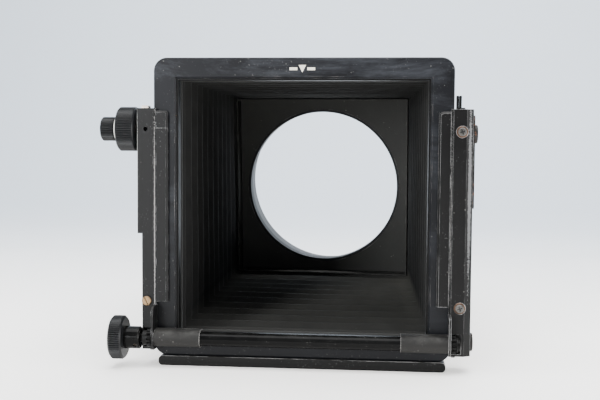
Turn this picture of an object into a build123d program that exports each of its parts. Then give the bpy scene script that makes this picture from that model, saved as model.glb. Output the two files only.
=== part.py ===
from build123d import *
from math import cos, pi, radians, sin, tan
import os

os.makedirs("parts", exist_ok=True)

# Bellows camera body with a geared rising carriage on its front frame. Millimetres.
# X points to the right seen from the open front, Y runs along the bellows to the rear, Z is up.
# The origin is the middle of the underside of the base bar that the front frame stands on.

# ---------------------------------------------------------------- driving dimensions
frame_width = 180.0            # front frame, outside
frame_side = frame_width / 2
frame_height = 181.0
frame_depth = 14.0
frame_corner_radius = 8.0
side_border = 13.75            # face of the frame beside its square opening
end_border = 12.5              # face of the frame above and below the opening
opening_chamfer = 1.0
rim_radius = 1.0

base_bar_inset = 3.0           # the base bar is this much shorter at each end than the frame
base_bar_length = frame_width - 2 * base_bar_inset
base_bar_depth = 18.0
base_bar_height = 6.0
base_bar_round = 2.5

bellows_extension = 256.0      # front face of the frame to the front face of the lens board
bellows_taper = 6.0            # how much narrower the rear end of the bellows is
bellows_wall = 10.0            # depth of a fold
cloth_gap = 0.3                # bellows to its neighbours

rear_shift = -3.5              # the rear standard stands a little to the left
rear_centre_height = 99.0
rear_swing = 4.5               # degrees, right side towards the front
rear_tilt = 3.6                # degrees, top towards the front
rear_wall = 3.5                # wall of the rear frame's collar
collar_depth = 18.0            # collar in front of the lens board
lens_board_width = frame_width - 16.0
lens_board_height = frame_height - 17.0
lens_board_thickness = 4.0
lens_opening = 128.0           # clear diameter of the round opening
ring_depth = 46.0
ring_flare = 12.5              # growth of the ring's inner diameter to the rear
ring_wall = 2.2
rear_foot_length = 130.0
rear_foot_depth = 24.0

upright_bottom = 10.4
upright_top = 156.5
upright_face = 4.35            # front face of the uprights, in front of the frame's face
upright_lap = 2.0              # the uprights overlap the edges of the frame by this much
upright_inner = frame_side - upright_lap
upright_bevel = 1.35
left_upright_outer = frame_side + 9.1
left_upright_lower_outer = frame_side + 6.3
left_step_height = 81.0        # below this the left upright is narrower
right_upright_outer = frame_side + 11.1
right_edge_chamfer = 4.0
right_edge_depth = 2.2
front_wall = 1.6               # front wall of each upright, over the rack channel
rack_channel_width = 2.6
channel_side = frame_side + rack_channel_width

strip_lap = 9.1                # how far the guide strips reach in over the frame
strip_inner = frame_side - strip_lap
strip_thickness = 2.85
strip_bottom = 39.5
strip_top = 155.0
strip_bevel = 1.1

slide_gap = 0.15               # between the sliding carriage and the frame
shaft_gap = 0.06               # radial clearance of turning pieces
seat_gap = 0.02                # pieces fitted to each other in one body
screw_end_gap = 0.5            # a screw hole is this much deeper than its screw
overrun = 1.0                  # how far a cut runs past the faces it goes through
head_gap = 0.2                 # a sunk head lies this far below the surface

shaft_height = 17.7            # axis of the cross shaft
shaft_stand_off = 6.0          # axis of the cross shaft, in front of the frame's face
shaft_diameter = 8.4
journal_diameter = 6.0         # ends of the shaft, in the brackets and pinions
sleeve_diameter = 9.0
rack_module = 0.8
rack_thickness = 2.4
rack_setback = 4.0             # back of the racks, in front of the frame's back
rack_bottom = 9.0
rack_top = 60.0
rack_screw_heights = (26.0, 52.0)
rack_screw_diameter = 2.5
rack_screw_bite = 5.0
pinion_teeth = 11
pinion_width = 2.3
tooth_backlash = 0.15 * rack_module
tooth_foot = 1.25 * rack_module
tooth_top = 1.0 * rack_module
pressure_angle = 20.0
pinion_foot_share = 1.3         # half width of a pinion tooth at its foot and tip, from its middle
pinion_tip_share = 0.42
pinion_tooth_root = 0.3
carriage_travel = 28.0
bracket_thickness = 1.3
left_bracket_top = 37.5
right_bracket_top = 35.0
bracket_rim = 0.4              # how far the brackets stand out past the covers
bracket_upper_corner = 4.5
bracket_lower_corner = 5.5
cover_length = 28.0
cover_radius = 5.1
cover_wall = 0.6

slotted_screw_height = 40.0
slotted_screw_x = frame_side + 3.4
slotted_screw_diameter = 1.7
slotted_head_diameter = 5.7
cross_screw_x = frame_side + 4.4
cross_screw_heights = (39.2, 143.2)
cross_screw_diameter = 3.0
cross_head_diameter = 5.0
cup_diameter = 6.8             # washers under the cross-head screws
cross_head_sink = 0.6

clamp_height = 144.0           # axis of the clamp knobs and of the screws opposite
clamp_setback = 9.0            # axis of the clamp, behind the face of the uprights
spindle_diameter = 6.0
clamp_knob_diameter = 26.8
clamp_knob_width = 11.0
clamp_knob_gap = 1.9
lock_knob_diameter = 14.6
lock_knob_width = 8.5
lock_knob_gap = 2.3
clamp_shoe_thickness = 1.3
shoe_gap = 0.25                # clamp shoe to the frame's edge, released

base_screw_spacing = frame_width - 20.0      # screws that hold the base bar under the frame
base_screw_diameter = 3.0
base_screw_head = 5.0
base_screw_length = 11.0
base_screw_sink = 1.6
socket_diameter = 5.1          # tapping size of the two fastening holes in the underside
socket_spacing = 100.0

mark_bar_length = 4.6          # centre mark at the top of the frame
mark_bar_height = 1.6
mark_pointer = 4.4
mark_gap = 0.8
mark_height = 180.2
mark_sink = 0.6

drive_knob_diameter = 26.4
drive_knob_width = 8.2
knob_hub_diameter = 13.6
knob_hub_length = 9.6

# ---------------------------------------------------------------- derived places
frame_front = -frame_depth / 2
frame_back = frame_depth / 2
frame_centre_height = base_bar_height + frame_height / 2
opening_width = frame_width - 2 * side_border
opening_height = frame_height - 2 * end_border
face = frame_front - upright_face
shaft_y = frame_front - shaft_stand_off
pinion_radius = rack_module * pinion_teeth / 2
rack_pitch = pi * rack_module
rack_pitch_line = shaft_y + pinion_radius
board_front = frame_front + bellows_extension
rack_back = frame_back - rack_setback
rack_screw_y = (rack_pitch_line + rack_back) / 2 + tooth_foot
clamp_y = face + clamp_setback
bracket_outer = upright_inner + bracket_thickness


def facing(y):
    """Plane across the camera at y: its x to the right, its y up, its normal to the front."""
    return Plane.XZ.offset(-y)


def across(x):
    """Plane across the shafts at x: its x along Y, its y up, its normal to the right."""
    return Plane.YZ.offset(x)


# The rear standard is swung and tilted, so its pieces are drawn on their own planes.
rear_axis = Vector(
    sin(radians(rear_swing)) * cos(radians(rear_tilt)),
    cos(radians(rear_swing)) * cos(radians(rear_tilt)),
    sin(radians(rear_tilt)),
)
rear_right = Vector(cos(radians(rear_swing)), -sin(radians(rear_swing)), 0)
rear_centre = Vector(rear_shift, board_front, rear_centre_height)
rear_plane = Plane(origin=rear_centre, x_dir=rear_right, z_dir=-rear_axis)
rear_up = rear_plane.y_dir


def rear(depth):
    """Plane of the lens board, moved back by depth."""
    return rear_plane.offset(-depth)


def finish(part, name):
    """Name a piece and write it."""
    part.label = name
    export_step(part, f"parts/{name}.step")


# ================================================================ front frame
def mark_outline(grow):
    """Pointer between two bars, drawn grow larger all round."""
    with BuildSketch() as outline:
        bar_place = mark_pointer / 2 + mark_gap + mark_bar_length / 2
        with Locations((-bar_place, mark_height), (bar_place, mark_height)):
            Rectangle(mark_bar_length + 2 * grow, mark_bar_height + 2 * grow)
        half = mark_pointer / 2 + grow
        with BuildLine():
            Polyline(
                (-half, mark_height + half),
                (half, mark_height + half),
                (0, mark_height - half),
                close=True,
            )
        make_face()
    return outline.sketch


with BuildPart() as front_frame:
    with BuildSketch(facing(frame_front)):
        with Locations((0, frame_centre_height)):
            RectangleRounded(frame_width, frame_height, frame_corner_radius)
            Rectangle(opening_width, opening_height, mode=Mode.SUBTRACT)
    extrude(amount=-frame_depth)
    front_edges = front_frame.faces().sort_by(Axis.Y)[0].inner_wires()[0].edges()
    chamfer(front_edges, length=opening_chamfer)
    rim_edges = front_frame.faces().sort_by(Axis.Y)[0].outer_wire().edges()
    fillet(rim_edges, radius=rim_radius)
    with BuildSketch(Plane.XY.offset(base_bar_height)):
        with GridLocations(base_screw_spacing, 1, 2, 1):
            Circle(base_screw_diameter / 2 + seat_gap)
    extrude(amount=base_screw_length - base_bar_height + screw_end_gap, mode=Mode.SUBTRACT)
    for side in (-1, 1):
        with BuildSketch(across(side * frame_side)):
            for height in rack_screw_heights:
                with Locations((rack_screw_y, height)):
                    Circle(rack_screw_diameter / 2 + seat_gap)
        extrude(amount=-side * rack_screw_bite, mode=Mode.SUBTRACT)
    with BuildSketch(facing(frame_front)):
        add(mark_outline(seat_gap))
    extrude(amount=-mark_sink, mode=Mode.SUBTRACT)
finish(front_frame.part, "front_frame")

# A plain centre mark, let into the middle of the frame's top border: a pointer between two bars.
with BuildPart() as centre_mark:
    with BuildSketch(facing(frame_front + mark_sink)):
        add(mark_outline(0))
    extrude(amount=mark_sink)
finish(centre_mark.part, "centre_mark")

# ---------------------------------------------------------------- base bar and its screws

with BuildPart() as base_bar:
    with BuildSketch(Plane.XZ.offset(-base_bar_depth / 2)):
        with Locations((0, base_bar_height / 2)):
            RectangleRounded(base_bar_length, base_bar_height, base_bar_round)
    extrude(amount=base_bar_depth)
    with Locations(Plane.XY.offset(base_bar_height)):
        with GridLocations(socket_spacing, 1, 2, 1):
            Hole(radius=socket_diameter / 2)
    with Locations(Plane(origin=(0, 0, 0), x_dir=(1, 0, 0), z_dir=(0, 0, -1))):
        with GridLocations(base_screw_spacing, 1, 2, 1):
            CounterBoreHole(
                radius=base_screw_diameter / 2 + seat_gap,
                counter_bore_radius=base_screw_head / 2 + seat_gap,
                counter_bore_depth=base_screw_sink + head_gap,
            )
finish(base_bar.part, "base_bar")

with BuildPart() as base_bar_screws:
    for x in (-base_screw_spacing / 2, base_screw_spacing / 2):
        with BuildSketch(Plane.XY.offset(head_gap)):
            with Locations((x, 0)):
                Circle(base_screw_head / 2)
        extrude(amount=base_screw_sink)
        with BuildSketch(Plane.XY.offset(head_gap)):
            with Locations((x, 0)):
                Circle(base_screw_diameter / 2)
        extrude(amount=base_screw_length)
finish(base_bar_screws.part, "base_bar_screws")

# ---------------------------------------------------------------- racks on the frame's sides
flank = tan(radians(pressure_angle))
tooth_weld = 0.1               # overlap of each tooth with the bar


def rack(side):
    """Rack bar on one side of the frame, its teeth to the front, in mesh with the pinion."""
    near = side * (frame_side + seat_gap)
    half_pitch_width = rack_pitch / 4 - tooth_backlash / 2
    with BuildPart() as bar:
        with BuildSketch(across(near)):
            with Locations(((rack_pitch_line + tooth_foot + rack_back) / 2, (rack_bottom + rack_top) / 2)):
                Rectangle(rack_back - rack_pitch_line - tooth_foot, rack_top - rack_bottom)
            first = int((rack_bottom - shaft_height) / rack_pitch) + 1
            last = int((rack_top - shaft_height) / rack_pitch) - 1
            for step in range(first, last):
                middle = shaft_height + (step + 0.5) * rack_pitch
                foot_half = half_pitch_width + tooth_foot * flank
                tip_half = half_pitch_width - tooth_top * flank
                root = rack_pitch_line + tooth_foot
                tip = rack_pitch_line - tooth_top
                with BuildLine():
                    Polyline(
                        (root + tooth_weld, middle - foot_half),
                        (root, middle - foot_half),
                        (tip, middle - tip_half),
                        (tip, middle + tip_half),
                        (root, middle + foot_half),
                        (root + tooth_weld, middle + foot_half),
                        close=True,
                    )
                make_face()
            for height in rack_screw_heights:
                with Locations((rack_screw_y, height)):
                    Circle(rack_screw_diameter / 2 + seat_gap, mode=Mode.SUBTRACT)
        extrude(amount=side * (rack_thickness - seat_gap))
    return bar.part


finish(rack(-1), "left_rack")
finish(rack(1), "right_rack")

with BuildPart() as rack_screws:
    for side in (-1, 1):
        outer = side * (frame_side + rack_thickness - head_gap)
        with BuildSketch(across(outer)):
            for height in rack_screw_heights:
                with Locations((rack_screw_y, height)):
                    Circle(rack_screw_diameter / 2)
        extrude(amount=-side * (rack_thickness + rack_screw_bite - head_gap - screw_end_gap))
finish(rack_screws.part, "rack_screws")

# ---------------------------------------------------------------- bellows and its front liner
liner_thickness = 1.0
liner_front_setback = 2.0
liner_length = 6.5
liner_gap = 0.05

with BuildPart() as bellows_front_liner:
    with BuildSketch(facing(frame_front + liner_front_setback)):
        with Locations((0, frame_centre_height)):
            Rectangle(opening_width - 2 * liner_gap, opening_height - 2 * liner_gap)
            Rectangle(
                opening_width - 2 * liner_thickness,
                opening_height - 2 * liner_thickness,
                mode=Mode.SUBTRACT,
            )
    extrude(amount=-liner_length)
finish(bellows_front_liner.part, "bellows_front_liner")

bellows_inner_width = opening_width + 2 * cloth_gap
bellows_inner_height = opening_height + 2 * cloth_gap
bellows_outer_width = bellows_inner_width + 2 * bellows_wall
bellows_outer_height = bellows_inner_height + 2 * bellows_wall
bellows_tuck = 9.0             # how far the bellows reaches into the rear collar
bellows_end = rear(bellows_tuck - collar_depth)
bellows_front = facing(frame_back + cloth_gap)

with BuildPart() as bellows:
    with BuildSketch(bellows_front):
        with Locations((0, frame_centre_height)):
            Rectangle(bellows_outer_width, bellows_outer_height)
    with BuildSketch(bellows_end):
        Rectangle(bellows_outer_width - bellows_taper, bellows_outer_height - bellows_taper)
    loft(ruled=True)
    with BuildSketch(bellows_front):
        with Locations((0, frame_centre_height)):
            Rectangle(bellows_inner_width, bellows_inner_height)
    with BuildSketch(bellows_end):
        Rectangle(bellows_inner_width - bellows_taper, bellows_inner_height - bellows_taper)
    loft(ruled=True, mode=Mode.SUBTRACT)
finish(bellows.part, "bellows")

# ================================================================ sliding carriage
gib_thickness = 2.0
gib_corner = 1.5
right_gib_outer = right_upright_outer - 1.1
gib_reach = 2.8                # how far the rear gib laps behind the frame
gib_bottom = 40.0
gib_top = 150.0
window_half_height = 5.9       # window for the pinion and the sleeve
window_half_depth = 4.9
left_window_end = left_upright_lower_outer - 1.0
journal_groove = 0.3            # clearance of the journal where it leaves the left upright
right_window_end = right_upright_outer - 5.6
spindle_hole = spindle_diameter / 2 + shaft_gap
upright_depth = frame_back + slide_gap - face
tapped_hole_x = frame_side + 4.0
tapped_hole_diameter = 2.6
slotted_screw_depth = 5.0
cross_screw_depth = 6.5
side_screw_depth = 6.0
side_screw_diameter = 4.0
upper_side_height = 142.0
gib_screw_x = frame_side + 6.0
gib_screw_heights = (50.0, 95.0, 140.0)
gib_screw_diameter = 2.5
gib_screw_depth = 6.0


def upright(side, outer, window_end, bracket_top):
    """Channel-section upright: a wall in front of the rack and a body beside it."""
    with BuildPart() as bar:
        with BuildSketch(Plane.XY.offset(upright_bottom)):
            with BuildLine():
                Polyline(
                    (side * upright_inner, face),
                    (side * outer, face),
                    (side * outer, frame_back + slide_gap),
                    (side * channel_side, frame_back + slide_gap),
                    (side * channel_side, face + front_wall),
                    (side * upright_inner, face + front_wall),
                    close=True,
                )
            make_face()
        extrude(amount=upright_top - upright_bottom)
        inner_edge = bar.edges().filter_by(Axis.Z).group_by(Axis.Y)[0].sort_by(Axis.X)
        chamfer(inner_edge[0] if side > 0 else inner_edge[-1], length=upright_bevel)
        # cut back beside the bracket
        with BuildSketch(Plane.XY.offset(upright_bottom)):
            with Locations((side * (upright_inner + bracket_thickness / 2), face + front_wall / 2)):
                Rectangle(bracket_thickness + 2 * seat_gap, front_wall + overrun)
        extrude(amount=bracket_top + head_gap - upright_bottom, mode=Mode.SUBTRACT)
        # window for the pinion and the sleeve of the cross shaft
        with BuildSketch(across(side * (upright_inner - overrun))):
            with Locations((shaft_y, shaft_height)):
                Rectangle(2 * window_half_depth, 2 * window_half_height)
        extrude(amount=side * (window_end - upright_inner + overrun), mode=Mode.SUBTRACT)
    return bar


left_bar = upright(-1, left_upright_outer, left_window_end, left_bracket_top)
with BuildPart() as left_upright:
    add(left_bar.part)
    # the lower half is narrower, below a square step
    with BuildSketch(Plane.XY.offset(upright_bottom)):
        beside = -left_upright_lower_outer - upright_depth / 2
        with Locations((beside, frame_back + slide_gap - upright_depth / 2)):
            Rectangle(upright_depth, upright_depth)
    extrude(amount=left_step_height - upright_bottom, mode=Mode.SUBTRACT)
    with BuildSketch(across(-left_window_end)):
        with Locations((shaft_y, shaft_height)):
            Circle(journal_diameter / 2 + journal_groove)
    extrude(amount=-(left_upright_outer - left_window_end), mode=Mode.SUBTRACT)
    with BuildSketch(across(-left_upright_outer)):
        with Locations((clamp_y, clamp_height)):
            Circle(spindle_hole)
    extrude(amount=left_upright_outer - channel_side, mode=Mode.SUBTRACT)
    # small tapped hole for the set screw that bears on the clamp spindle
    with BuildSketch(facing(face)):
        with Locations((-tapped_hole_x, clamp_height)):
            Circle(tapped_hole_diameter / 2)
    extrude(amount=-(clamp_setback - spindle_diameter / 2 - screw_end_gap), mode=Mode.SUBTRACT)
    with BuildSketch(facing(face)):
        with Locations((-slotted_screw_x, slotted_screw_height)):
            Circle(slotted_screw_diameter / 2 + seat_gap)
    extrude(amount=-slotted_screw_depth, mode=Mode.SUBTRACT)
    with BuildSketch(facing(frame_back + slide_gap)):
        for height in gib_screw_heights:
            with Locations((-gib_screw_x, height)):
                Circle(gib_screw_diameter / 2 + seat_gap)
    extrude(amount=gib_screw_depth, mode=Mode.SUBTRACT)
finish(left_upright.part, "left_upright")

right_bar = upright(1, right_upright_outer, right_window_end, right_bracket_top)
with BuildPart() as right_upright:
    add(right_bar.part)
    outer_edge = right_upright.edges().filter_by(Axis.Z).group_by(Axis.X)[-1].sort_by(Axis.Y)[0]
    chamfer(outer_edge, length=right_edge_chamfer, length2=right_edge_depth)
    with BuildSketch(facing(face)):
        for height in cross_screw_heights:
            with Locations((cross_screw_x, height)):
                Circle(cup_diameter / 2 + seat_gap)
    extrude(amount=-cross_head_sink, mode=Mode.SUBTRACT)
    with BuildSketch(facing(face)):
        for height in cross_screw_heights:
            with Locations((cross_screw_x, height)):
                Circle(cross_screw_diameter / 2 + seat_gap)
    extrude(amount=-cross_screw_depth, mode=Mode.SUBTRACT)
    with BuildSketch(across(right_upright_outer)):
        with Locations((clamp_y, upper_side_height), (clamp_y, shaft_height)):
            Circle(side_screw_diameter / 2 + seat_gap)
    extrude(amount=-side_screw_depth, mode=Mode.SUBTRACT)
    with BuildSketch(facing(frame_back + slide_gap)):
        for height in gib_screw_heights:
            with Locations((gib_screw_x, height)):
                Circle(gib_screw_diameter / 2 + seat_gap)
    extrude(amount=gib_screw_depth, mode=Mode.SUBTRACT)
finish(right_upright.part, "right_upright")

# ---------------------------------------------------------------- guide strips on the frame's face
strip_tongue = 1.7             # part of the strip that lies behind the upright's front wall
right_strip_corner = 3.0
left_strip_corner = 1.8
strip_joint = clamp_height + 0.6


def guide_strip(side, inner, bottom, top, corner):
    """Strip that keeps the carriage on the front of the frame."""
    back = frame_front - slide_gap
    front = back - strip_thickness
    with BuildPart() as strip:
        with BuildSketch(facing(back)):
            with Locations((side * (inner + upright_inner) / 2, (bottom + top) / 2)):
                Rectangle(upright_inner - inner, top - bottom)
        extrude(amount=strip_thickness)
        if corner:
            upright_edges = strip.edges().filter_by(Axis.Y)
            top_corner = upright_edges.group_by(Axis.Z)[-1].sort_by(Axis.X)
            fillet(top_corner[0] if side > 0 else top_corner[-1], radius=corner)
        inner_face = strip.faces().filter_by(Axis.X).sort_by(Axis.X)
        inner_face = inner_face[0] if side > 0 else inner_face[-1]
        chamfer(inner_face.edges().filter_by(Axis.Z).sort_by(Axis.Y)[0], length=strip_bevel)
        with BuildSketch(facing(back)):
            with Locations((side * (upright_inner + strip_tongue / 2), (bottom + top) / 2)):
                Rectangle(strip_tongue, top - bottom)
        extrude(amount=back - face - front_wall - seat_gap)
    return strip.part


finish(guide_strip(1, strip_inner, strip_bottom, strip_top, right_strip_corner), "right_guide_strip")
finish(guide_strip(-1, strip_inner, strip_bottom, strip_joint, 0), "left_guide_strip")
finish(guide_strip(-1, strip_inner, strip_joint, strip_top, left_strip_corner), "left_strip_end")


# ---------------------------------------------------------------- gibs behind the frame
def gib(side):
    """Plate behind the upright that laps over the back of the frame."""
    inner = frame_side - gib_reach
    outer = left_upright_lower_outer if side < 0 else right_gib_outer
    with BuildPart() as plate:
        with BuildSketch(facing(frame_back + slide_gap)):
            with Locations((side * (inner + outer) / 2, (gib_bottom + gib_top) / 2)):
                RectangleRounded(outer - inner, gib_top - gib_bottom, gib_corner)
            for height in gib_screw_heights:
                with Locations((side * gib_screw_x, height)):
                    Circle(gib_screw_diameter / 2 + seat_gap, mode=Mode.SUBTRACT)
        extrude(amount=-gib_thickness)
    return plate.part


finish(gib(-1), "left_gib")
finish(gib(1), "right_gib")

gib_head_diameter = 4.6
gib_head_height = 1.3
with BuildPart() as gib_screws:
    for side in (-1, 1):
        with BuildSketch(facing(frame_back + slide_gap + gib_thickness)):
            for height in gib_screw_heights:
                with Locations((side * gib_screw_x, height)):
                    Circle(gib_head_diameter / 2)
        extrude(amount=-gib_head_height)
        with BuildSketch(facing(frame_back + slide_gap + gib_thickness)):
            for height in gib_screw_heights:
                with Locations((side * gib_screw_x, height)):
                    Circle(gib_screw_diameter / 2)
        extrude(amount=gib_thickness + gib_screw_depth - screw_end_gap)
finish(gib_screws.part, "gib_screws")

# ---------------------------------------------------------------- screws on the uprights' faces
slotted_head_height = 1.6
slotted_head_chamfer = 0.35
slot_width = 0.8
slot_depth = 0.8
slot_turn = 28.0
with BuildPart() as slotted_screw:
    place = (-slotted_screw_x, slotted_screw_height)
    with BuildSketch(facing(face)):
        with Locations(place):
            Circle(slotted_head_diameter / 2)
    extrude(amount=slotted_head_height)
    chamfer(slotted_screw.faces().sort_by(Axis.Y)[0].edges(), length=slotted_head_chamfer)
    with BuildSketch(facing(face)):
        with Locations(place):
            Circle(slotted_screw_diameter / 2)
    extrude(amount=-(slotted_screw_depth - screw_end_gap))
    with BuildSketch(facing(face - slotted_head_height)):
        with Locations(place):
            Rectangle(slot_width, slotted_head_diameter + overrun, rotation=slot_turn)
    extrude(amount=-slot_depth, mode=Mode.SUBTRACT)
finish(slotted_screw.part, "slotted_screw")

cup_thickness = 1.0
cup_chamfer = 0.35
cross_head_height = 1.4
cross_head_chamfer = 0.45
cross_slot = 1.0
cross_slot_length = 3.2
cross_slot_depth = 1.0
cross_turn = 20.0
with BuildPart() as cup_washers:
    with BuildSketch(facing(face + cross_head_sink)):
        for height in cross_screw_heights:
            with Locations((cross_screw_x, height)):
                Circle(cup_diameter / 2)
                Circle(cross_screw_diameter / 2 + seat_gap, mode=Mode.SUBTRACT)
    extrude(amount=cup_thickness)
    for front_face in cup_washers.faces().sort_by(Axis.Y)[0:2]:
        chamfer(front_face.outer_wire().edges(), length=cup_chamfer)
finish(cup_washers.part, "cup_washers")

with BuildPart() as cross_head_screws:
    head_seat = face + cross_head_sink - cup_thickness
    for height in cross_screw_heights:
        place = (cross_screw_x, height)
        with BuildSketch(facing(head_seat)):
            with Locations(place):
                Circle(cross_head_diameter / 2)
        extrude(amount=cross_head_height)
        with BuildSketch(facing(head_seat)):
            with Locations(place):
                Circle(cross_screw_diameter / 2)
        extrude(amount=-(cross_screw_depth - cross_head_sink + cup_thickness - screw_end_gap))
    front_rims = cross_head_screws.faces().sort_by(Axis.Y)[0:2].edges()
    chamfer(front_rims, length=cross_head_chamfer)
    for height in cross_screw_heights:
        with BuildSketch(facing(head_seat - cross_head_height)):
            with Locations((cross_screw_x, height)):
                Rectangle(cross_slot, cross_slot_length, rotation=cross_turn)
                Rectangle(cross_slot_length, cross_slot, rotation=cross_turn)
        extrude(amount=-cross_slot_depth, mode=Mode.SUBTRACT)
finish(cross_head_screws.part, "cross_head_screws")

# ---------------------------------------------------------------- outer side of the right upright
strap_thickness = 1.0
strap_depth = 11.0
strap_corner = 2.0
strap_bottom = 98.0
strap_top = 153.0
with BuildPart() as side_strap:
    with BuildSketch(across(right_upright_outer)):
        with Locations((clamp_y, (strap_bottom + strap_top) / 2)):
            RectangleRounded(strap_depth, strap_top - strap_bottom, strap_corner)
        with Locations((clamp_y, upper_side_height)):
            Circle(side_screw_diameter / 2 + seat_gap, mode=Mode.SUBTRACT)
    extrude(amount=strap_thickness)
finish(side_strap.part, "side_strap")

side_head_diameter = 11.0
side_head_height = 1.8
side_head_chamfer = 0.5
side_slot_width = 1.2
side_slot_depth = 0.9
side_slot_turn = 35.0


def side_screw(height, seat):
    """Large flat-headed screw in the right upright's side, its head on seat."""
    with BuildPart() as screw:
        with BuildSketch(across(seat)):
            with Locations((clamp_y, height)):
                Circle(side_head_diameter / 2)
        extrude(amount=side_head_height)
        chamfer(screw.faces().sort_by(Axis.X)[-1].edges(), length=side_head_chamfer)
        with BuildSketch(across(seat)):
            with Locations((clamp_y, height)):
                Circle(side_screw_diameter / 2)
        extrude(amount=-(side_screw_depth - screw_end_gap + seat - right_upright_outer))
        with BuildSketch(across(seat + side_head_height)):
            with Locations((clamp_y, height)):
                Rectangle(side_slot_width, side_head_diameter + overrun, rotation=side_slot_turn)
        extrude(amount=-side_slot_depth, mode=Mode.SUBTRACT)
    return screw.part


finish(side_screw(upper_side_height, right_upright_outer + strap_thickness), "upper_side_screw")
finish(side_screw(shaft_height, right_upright_outer), "lower_side_screw")

# ---------------------------------------------------------------- stops on top of the uprights
stop_depth = 6.0
post_leaf = 1.2
post_gap = 0.5
post_x = frame_side + 2.8
post_rise = 8.0
post_base_width = 5.0
post_base_height = 1.0
with BuildPart() as stop_post:
    with BuildSketch(Plane.XY.offset(upright_top)):
        with Locations((post_x - post_leaf - post_gap / 2 + post_base_width / 2, clamp_y)):
            Rectangle(post_base_width, stop_depth)
    extrude(amount=post_base_height)
    with BuildSketch(Plane.XY.offset(upright_top)):
        leaf_place = (post_leaf + post_gap) / 2
        with Locations((post_x - leaf_place, clamp_y), (post_x + leaf_place, clamp_y)):
            Rectangle(post_leaf, stop_depth)
    extrude(amount=post_rise)
finish(stop_post.part, "stop_post")

stub_x = frame_side + 5.8
stub_width = 4.2
stub_rise = 1.8
stub_chamfer = 0.5
with BuildPart() as stop_stub:
    with BuildSketch(Plane.XY.offset(upright_top)):
        with Locations((-stub_x, clamp_y)):
            Rectangle(stub_width, stop_depth)
    extrude(amount=stub_rise)
    chamfer(stop_stub.faces().sort_by(Axis.Z)[-1].edges(), length=stub_chamfer)
finish(stop_stub.part, "stop_stub")


# ---------------------------------------------------------------- brackets and covers of the cross shaft
def bracket(side):
    """Bearing plate for one end of the cross shaft."""
    back = frame_front - slide_gap
    front = shaft_y - cover_radius - bracket_rim
    bottom = upright_bottom + bracket_rim
    bracket_top = left_bracket_top if side < 0 else right_bracket_top
    with BuildPart() as plate:
        with BuildSketch(across(side * upright_inner)):
            with Locations(((back + front) / 2, (bottom + bracket_top) / 2)):
                Rectangle(back - front, bracket_top - bottom)
        extrude(amount=side * bracket_thickness)
        front_edges = plate.edges().filter_by(Axis.X).group_by(Axis.Y)[0].sort_by(Axis.Z)
        fillet(front_edges[-1], radius=bracket_upper_corner)
        front_edges = plate.edges().filter_by(Axis.X).group_by(Axis.Y)[0].sort_by(Axis.Z)
        fillet(front_edges[0], radius=bracket_lower_corner)
        with BuildSketch(across(side * upright_inner)):
            with Locations((shaft_y, shaft_height)):
                Circle(journal_diameter / 2 + shaft_gap)
        extrude(amount=side * bracket_thickness, mode=Mode.SUBTRACT)
    return plate.part


def shaft_cover(side):
    """Half-round cover over the end of the shaft, open towards the frame."""
    back = frame_front - slide_gap
    inner = cover_radius - cover_wall
    with BuildPart() as cover:
        with BuildSketch(across(side * upright_inner)):
            with Locations((shaft_y, shaft_height)):
                Circle(cover_radius)
            with Locations(((shaft_y + back) / 2, shaft_height)):
                Rectangle(back - shaft_y, 2 * cover_radius)
            with Locations((shaft_y, shaft_height)):
                Circle(inner, mode=Mode.SUBTRACT)
            with Locations(((shaft_y + back) / 2, shaft_height)):
                Rectangle(back - shaft_y, 2 * inner, mode=Mode.SUBTRACT)
        extrude(amount=-side * cover_length)
    return cover.part


finish(bracket(-1), "left_bracket")
finish(bracket(1), "right_bracket")
finish(shaft_cover(-1), "left_shaft_cover")
finish(shaft_cover(1), "right_shaft_cover")

# ================================================================ cross shaft and its knob
shaft_end_play = 0.3
pinion_start = frame_side + head_gap
shoulder = upright_inner - shaft_end_play
hub_start = left_upright_lower_outer + shaft_end_play
hub_end = hub_start + knob_hub_length
shaft_end_recess = 2.0
clip_width = 0.8
clip_gap = 0.4
clip_diameter = 8.6
knob_end = hub_end + drive_knob_width
shaft_left_end = knob_end - shaft_end_recess
shaft_right_end = right_window_end - clip_width

with BuildPart() as cross_shaft:
    with BuildSketch(across(-shoulder)):
        with Locations((shaft_y, shaft_height)):
            Circle(shaft_diameter / 2)
    extrude(amount=2 * shoulder)
    with BuildSketch(across(-shaft_left_end)):
        with Locations((shaft_y, shaft_height)):
            Circle(journal_diameter / 2)
    extrude(amount=shaft_left_end + shaft_right_end)
finish(cross_shaft.part, "cross_shaft")


def pinion(side):
    """Small spur gear that runs on the rack; one tooth points straight back."""
    outer = pinion_radius + tooth_top
    root = pinion_radius - tooth_foot
    tooth_half = pi * rack_module / 4 - tooth_backlash / 2
    foot_half = tooth_half * pinion_foot_share
    tip_half = tooth_half * pinion_tip_share
    sunk = root - pinion_tooth_root
    with BuildSketch() as tooth:
        with BuildLine():
            Polyline(
                (sunk, -foot_half),
                (pinion_radius, -tooth_half),
                (outer, -tip_half),
                (outer, tip_half),
                (pinion_radius, tooth_half),
                (sunk, foot_half),
                close=True,
            )
        make_face()
    with BuildPart() as gear:
        with BuildSketch(across(side * pinion_start)):
            with Locations((shaft_y, shaft_height)):
                Circle(root)
                with PolarLocations(0, pinion_teeth):
                    add(tooth.sketch)
                Circle(journal_diameter / 2 + seat_gap, mode=Mode.SUBTRACT)
        extrude(amount=side * pinion_width)
    return gear.part


finish(pinion(-1), "left_pinion")
finish(pinion(1), "right_pinion")

with BuildPart() as shaft_sleeve:
    with BuildSketch(across(-(pinion_start + pinion_width))):
        with Locations((shaft_y, shaft_height)):
            Circle(sleeve_diameter / 2)
            Circle(journal_diameter / 2 + seat_gap, mode=Mode.SUBTRACT)
    extrude(amount=-(left_window_end - shaft_end_play - pinion_start - pinion_width))
finish(shaft_sleeve.part, "shaft_sleeve")

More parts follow.
